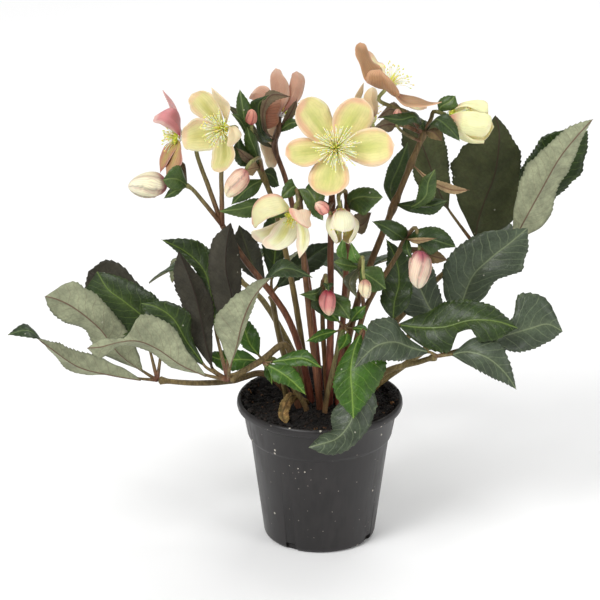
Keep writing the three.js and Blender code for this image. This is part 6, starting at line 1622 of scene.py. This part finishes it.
def scatterCrumbs(bm):
    layer = layersOf(bm)["tint"]
    draw = random.Random(crumbs["seed"])
    made = [bmesh.ops.create_icosphere(bm, subdivisions=1, radius=1)["verts"]]
    while len(made) < crumbs["count"]:  # doubled until there are enough
        parts = [v for crumb in made for v in crumb]
        edges = {edge for vert in parts for edge in vert.link_edges}
        faces = {face for vert in parts for face in vert.link_faces}
        copies = bmesh.ops.duplicate(bm, geom=parts + list(edges) + list(faces))["vert_map"]
        made += [[copies[v] for v in crumb] for crumb in made]
    for number, crumb in enumerate(made):
        radius = peat["rim"] * math.sqrt(draw.random()) * crumbs["overRim"]
        angle = draw.uniform(0, 2 * math.pi)
        spill = number % crumbs["spillEvery"] == 0
        if spill:
            angle = draw.choice(crumbs["spillSides"]) + draw.gauss(0, crumbs["spillSpread"])
            radius = draw.uniform(*crumbs["spillRadius"])
        x, y = radius * math.cos(angle), radius * math.sin(angle)
        size = draw.uniform(*crumbs["size"]) * draw.random() ** 0.8 + crumbs["least"]
        ground = crumbs["lipHeight"] + draw.uniform(*crumbs["spillRise"]) if spill else peatHeight(x, y)
        stretch = Vector([draw.uniform(*crumbs[way]) for way in ("wide", "deep", "high")])
        turn = Matrix.Rotation(draw.uniform(0, 6.28), 3, direction((draw.gauss(0, 1), draw.gauss(0, 1), 1)))
        tint = hexColour(crumbColours[min(len(crumbColours) - 1, int(abs(draw.gauss(0, crumbs["pale"]))))])
        for vert in crumb:
            local = vert.co * size * draw.uniform(*crumbs["knobbly"])
            local = turn @ Vector([value * scale for value, scale in zip(local, stretch)])
            vert.co = Vector((x, y, ground)) + local
            vert[layer] = (*tint, 1)


# The withered leaf on the peat

withered = {
    "stalk": [(-9, -9, 113), (-10, -12, 117), (-15, -17.5, 122.5)], "start": (-13, -16, 122),
    "across": [
        ((-20, -20, 120), (-22, -23, 126), (-24, -24, 129)),
        ((-22, -24, 119), (-26, -26, 121), (-30, -25, 123)),
        ((-24, -28, 114), (-29, -29, 114), (-32, -26, 115)),
        ((-24, -34, 113), (-29, -34, 112), (-32, -31, 112)),
    ],
    "tip": (-26, -43, 111), "phase": 1, "colours": ("6c6233", "a5804c", "4a3420"),  # olive, tan, dark
}


def witheredPiece():
    bm = newPiece()
    olive, tan, dark = (hexColour(c) for c in withered["colours"])

    def paint(v, u, under, point):
        share = min(1, max(0, 0.35 + 0.8 * noise.noise(point * 0.22) + 0.4 * v))
        spots = 0.5 * ease(0.2, 0.6, noise.noise(point * 0.4 + up))
        return blend(blend(olive, tan, share), dark, spots), (*tan, 0.4)

    growBlade(bm, "withered", withered, paint)
    growStalk(bm, withered["stalk"], lambda s: 1.2 - 0.4 * s, stalkPaint("withered"), 8, 2)
    materials = (looks["witheredBlade"], looks["stalkSkin"])
    return finishPiece(bm, "witheredLeaf", "withered_leaf", materials)


# Putting it together

groups["mottle"] = mottleGroup()
groups["specks"] = speckGroup()
groups["veins"] = veinGroup()
looks = {
    "leafBlade": leafMaterial(), "stalkSkin": stalkMaterial(), "sepalFlesh": sepalMaterial(),
    "stamenDust": stamenMaterial(), "potPlastic": potMaterial(), "peat": peatMaterial(),
    "witheredBlade": witheredMaterial(),
}
setStage()
print("stage and materials ready")
potPiece()
peatPiece()
witheredPiece()
print("pot and peat built")
for number, (node, leaf) in enumerate(leaves.items()):
    leafPiece(node, leaf, number + 1)
print("leaves built")
for number, (node, stem) in enumerate(stems.items()):
    stemPiece(node, stem, number + 1)
print("stems built")
for number, (node, bloom) in enumerate(blooms.items()):
    bloomPiece(node, bloom, number + 1)
    bossPiece(node.replace("bloom", "boss"), bloom, number + 1)
for number, (node, bud) in enumerate(buds.items()):
    budPiece(node, bud, number + 1)
print("blooms and buds built")
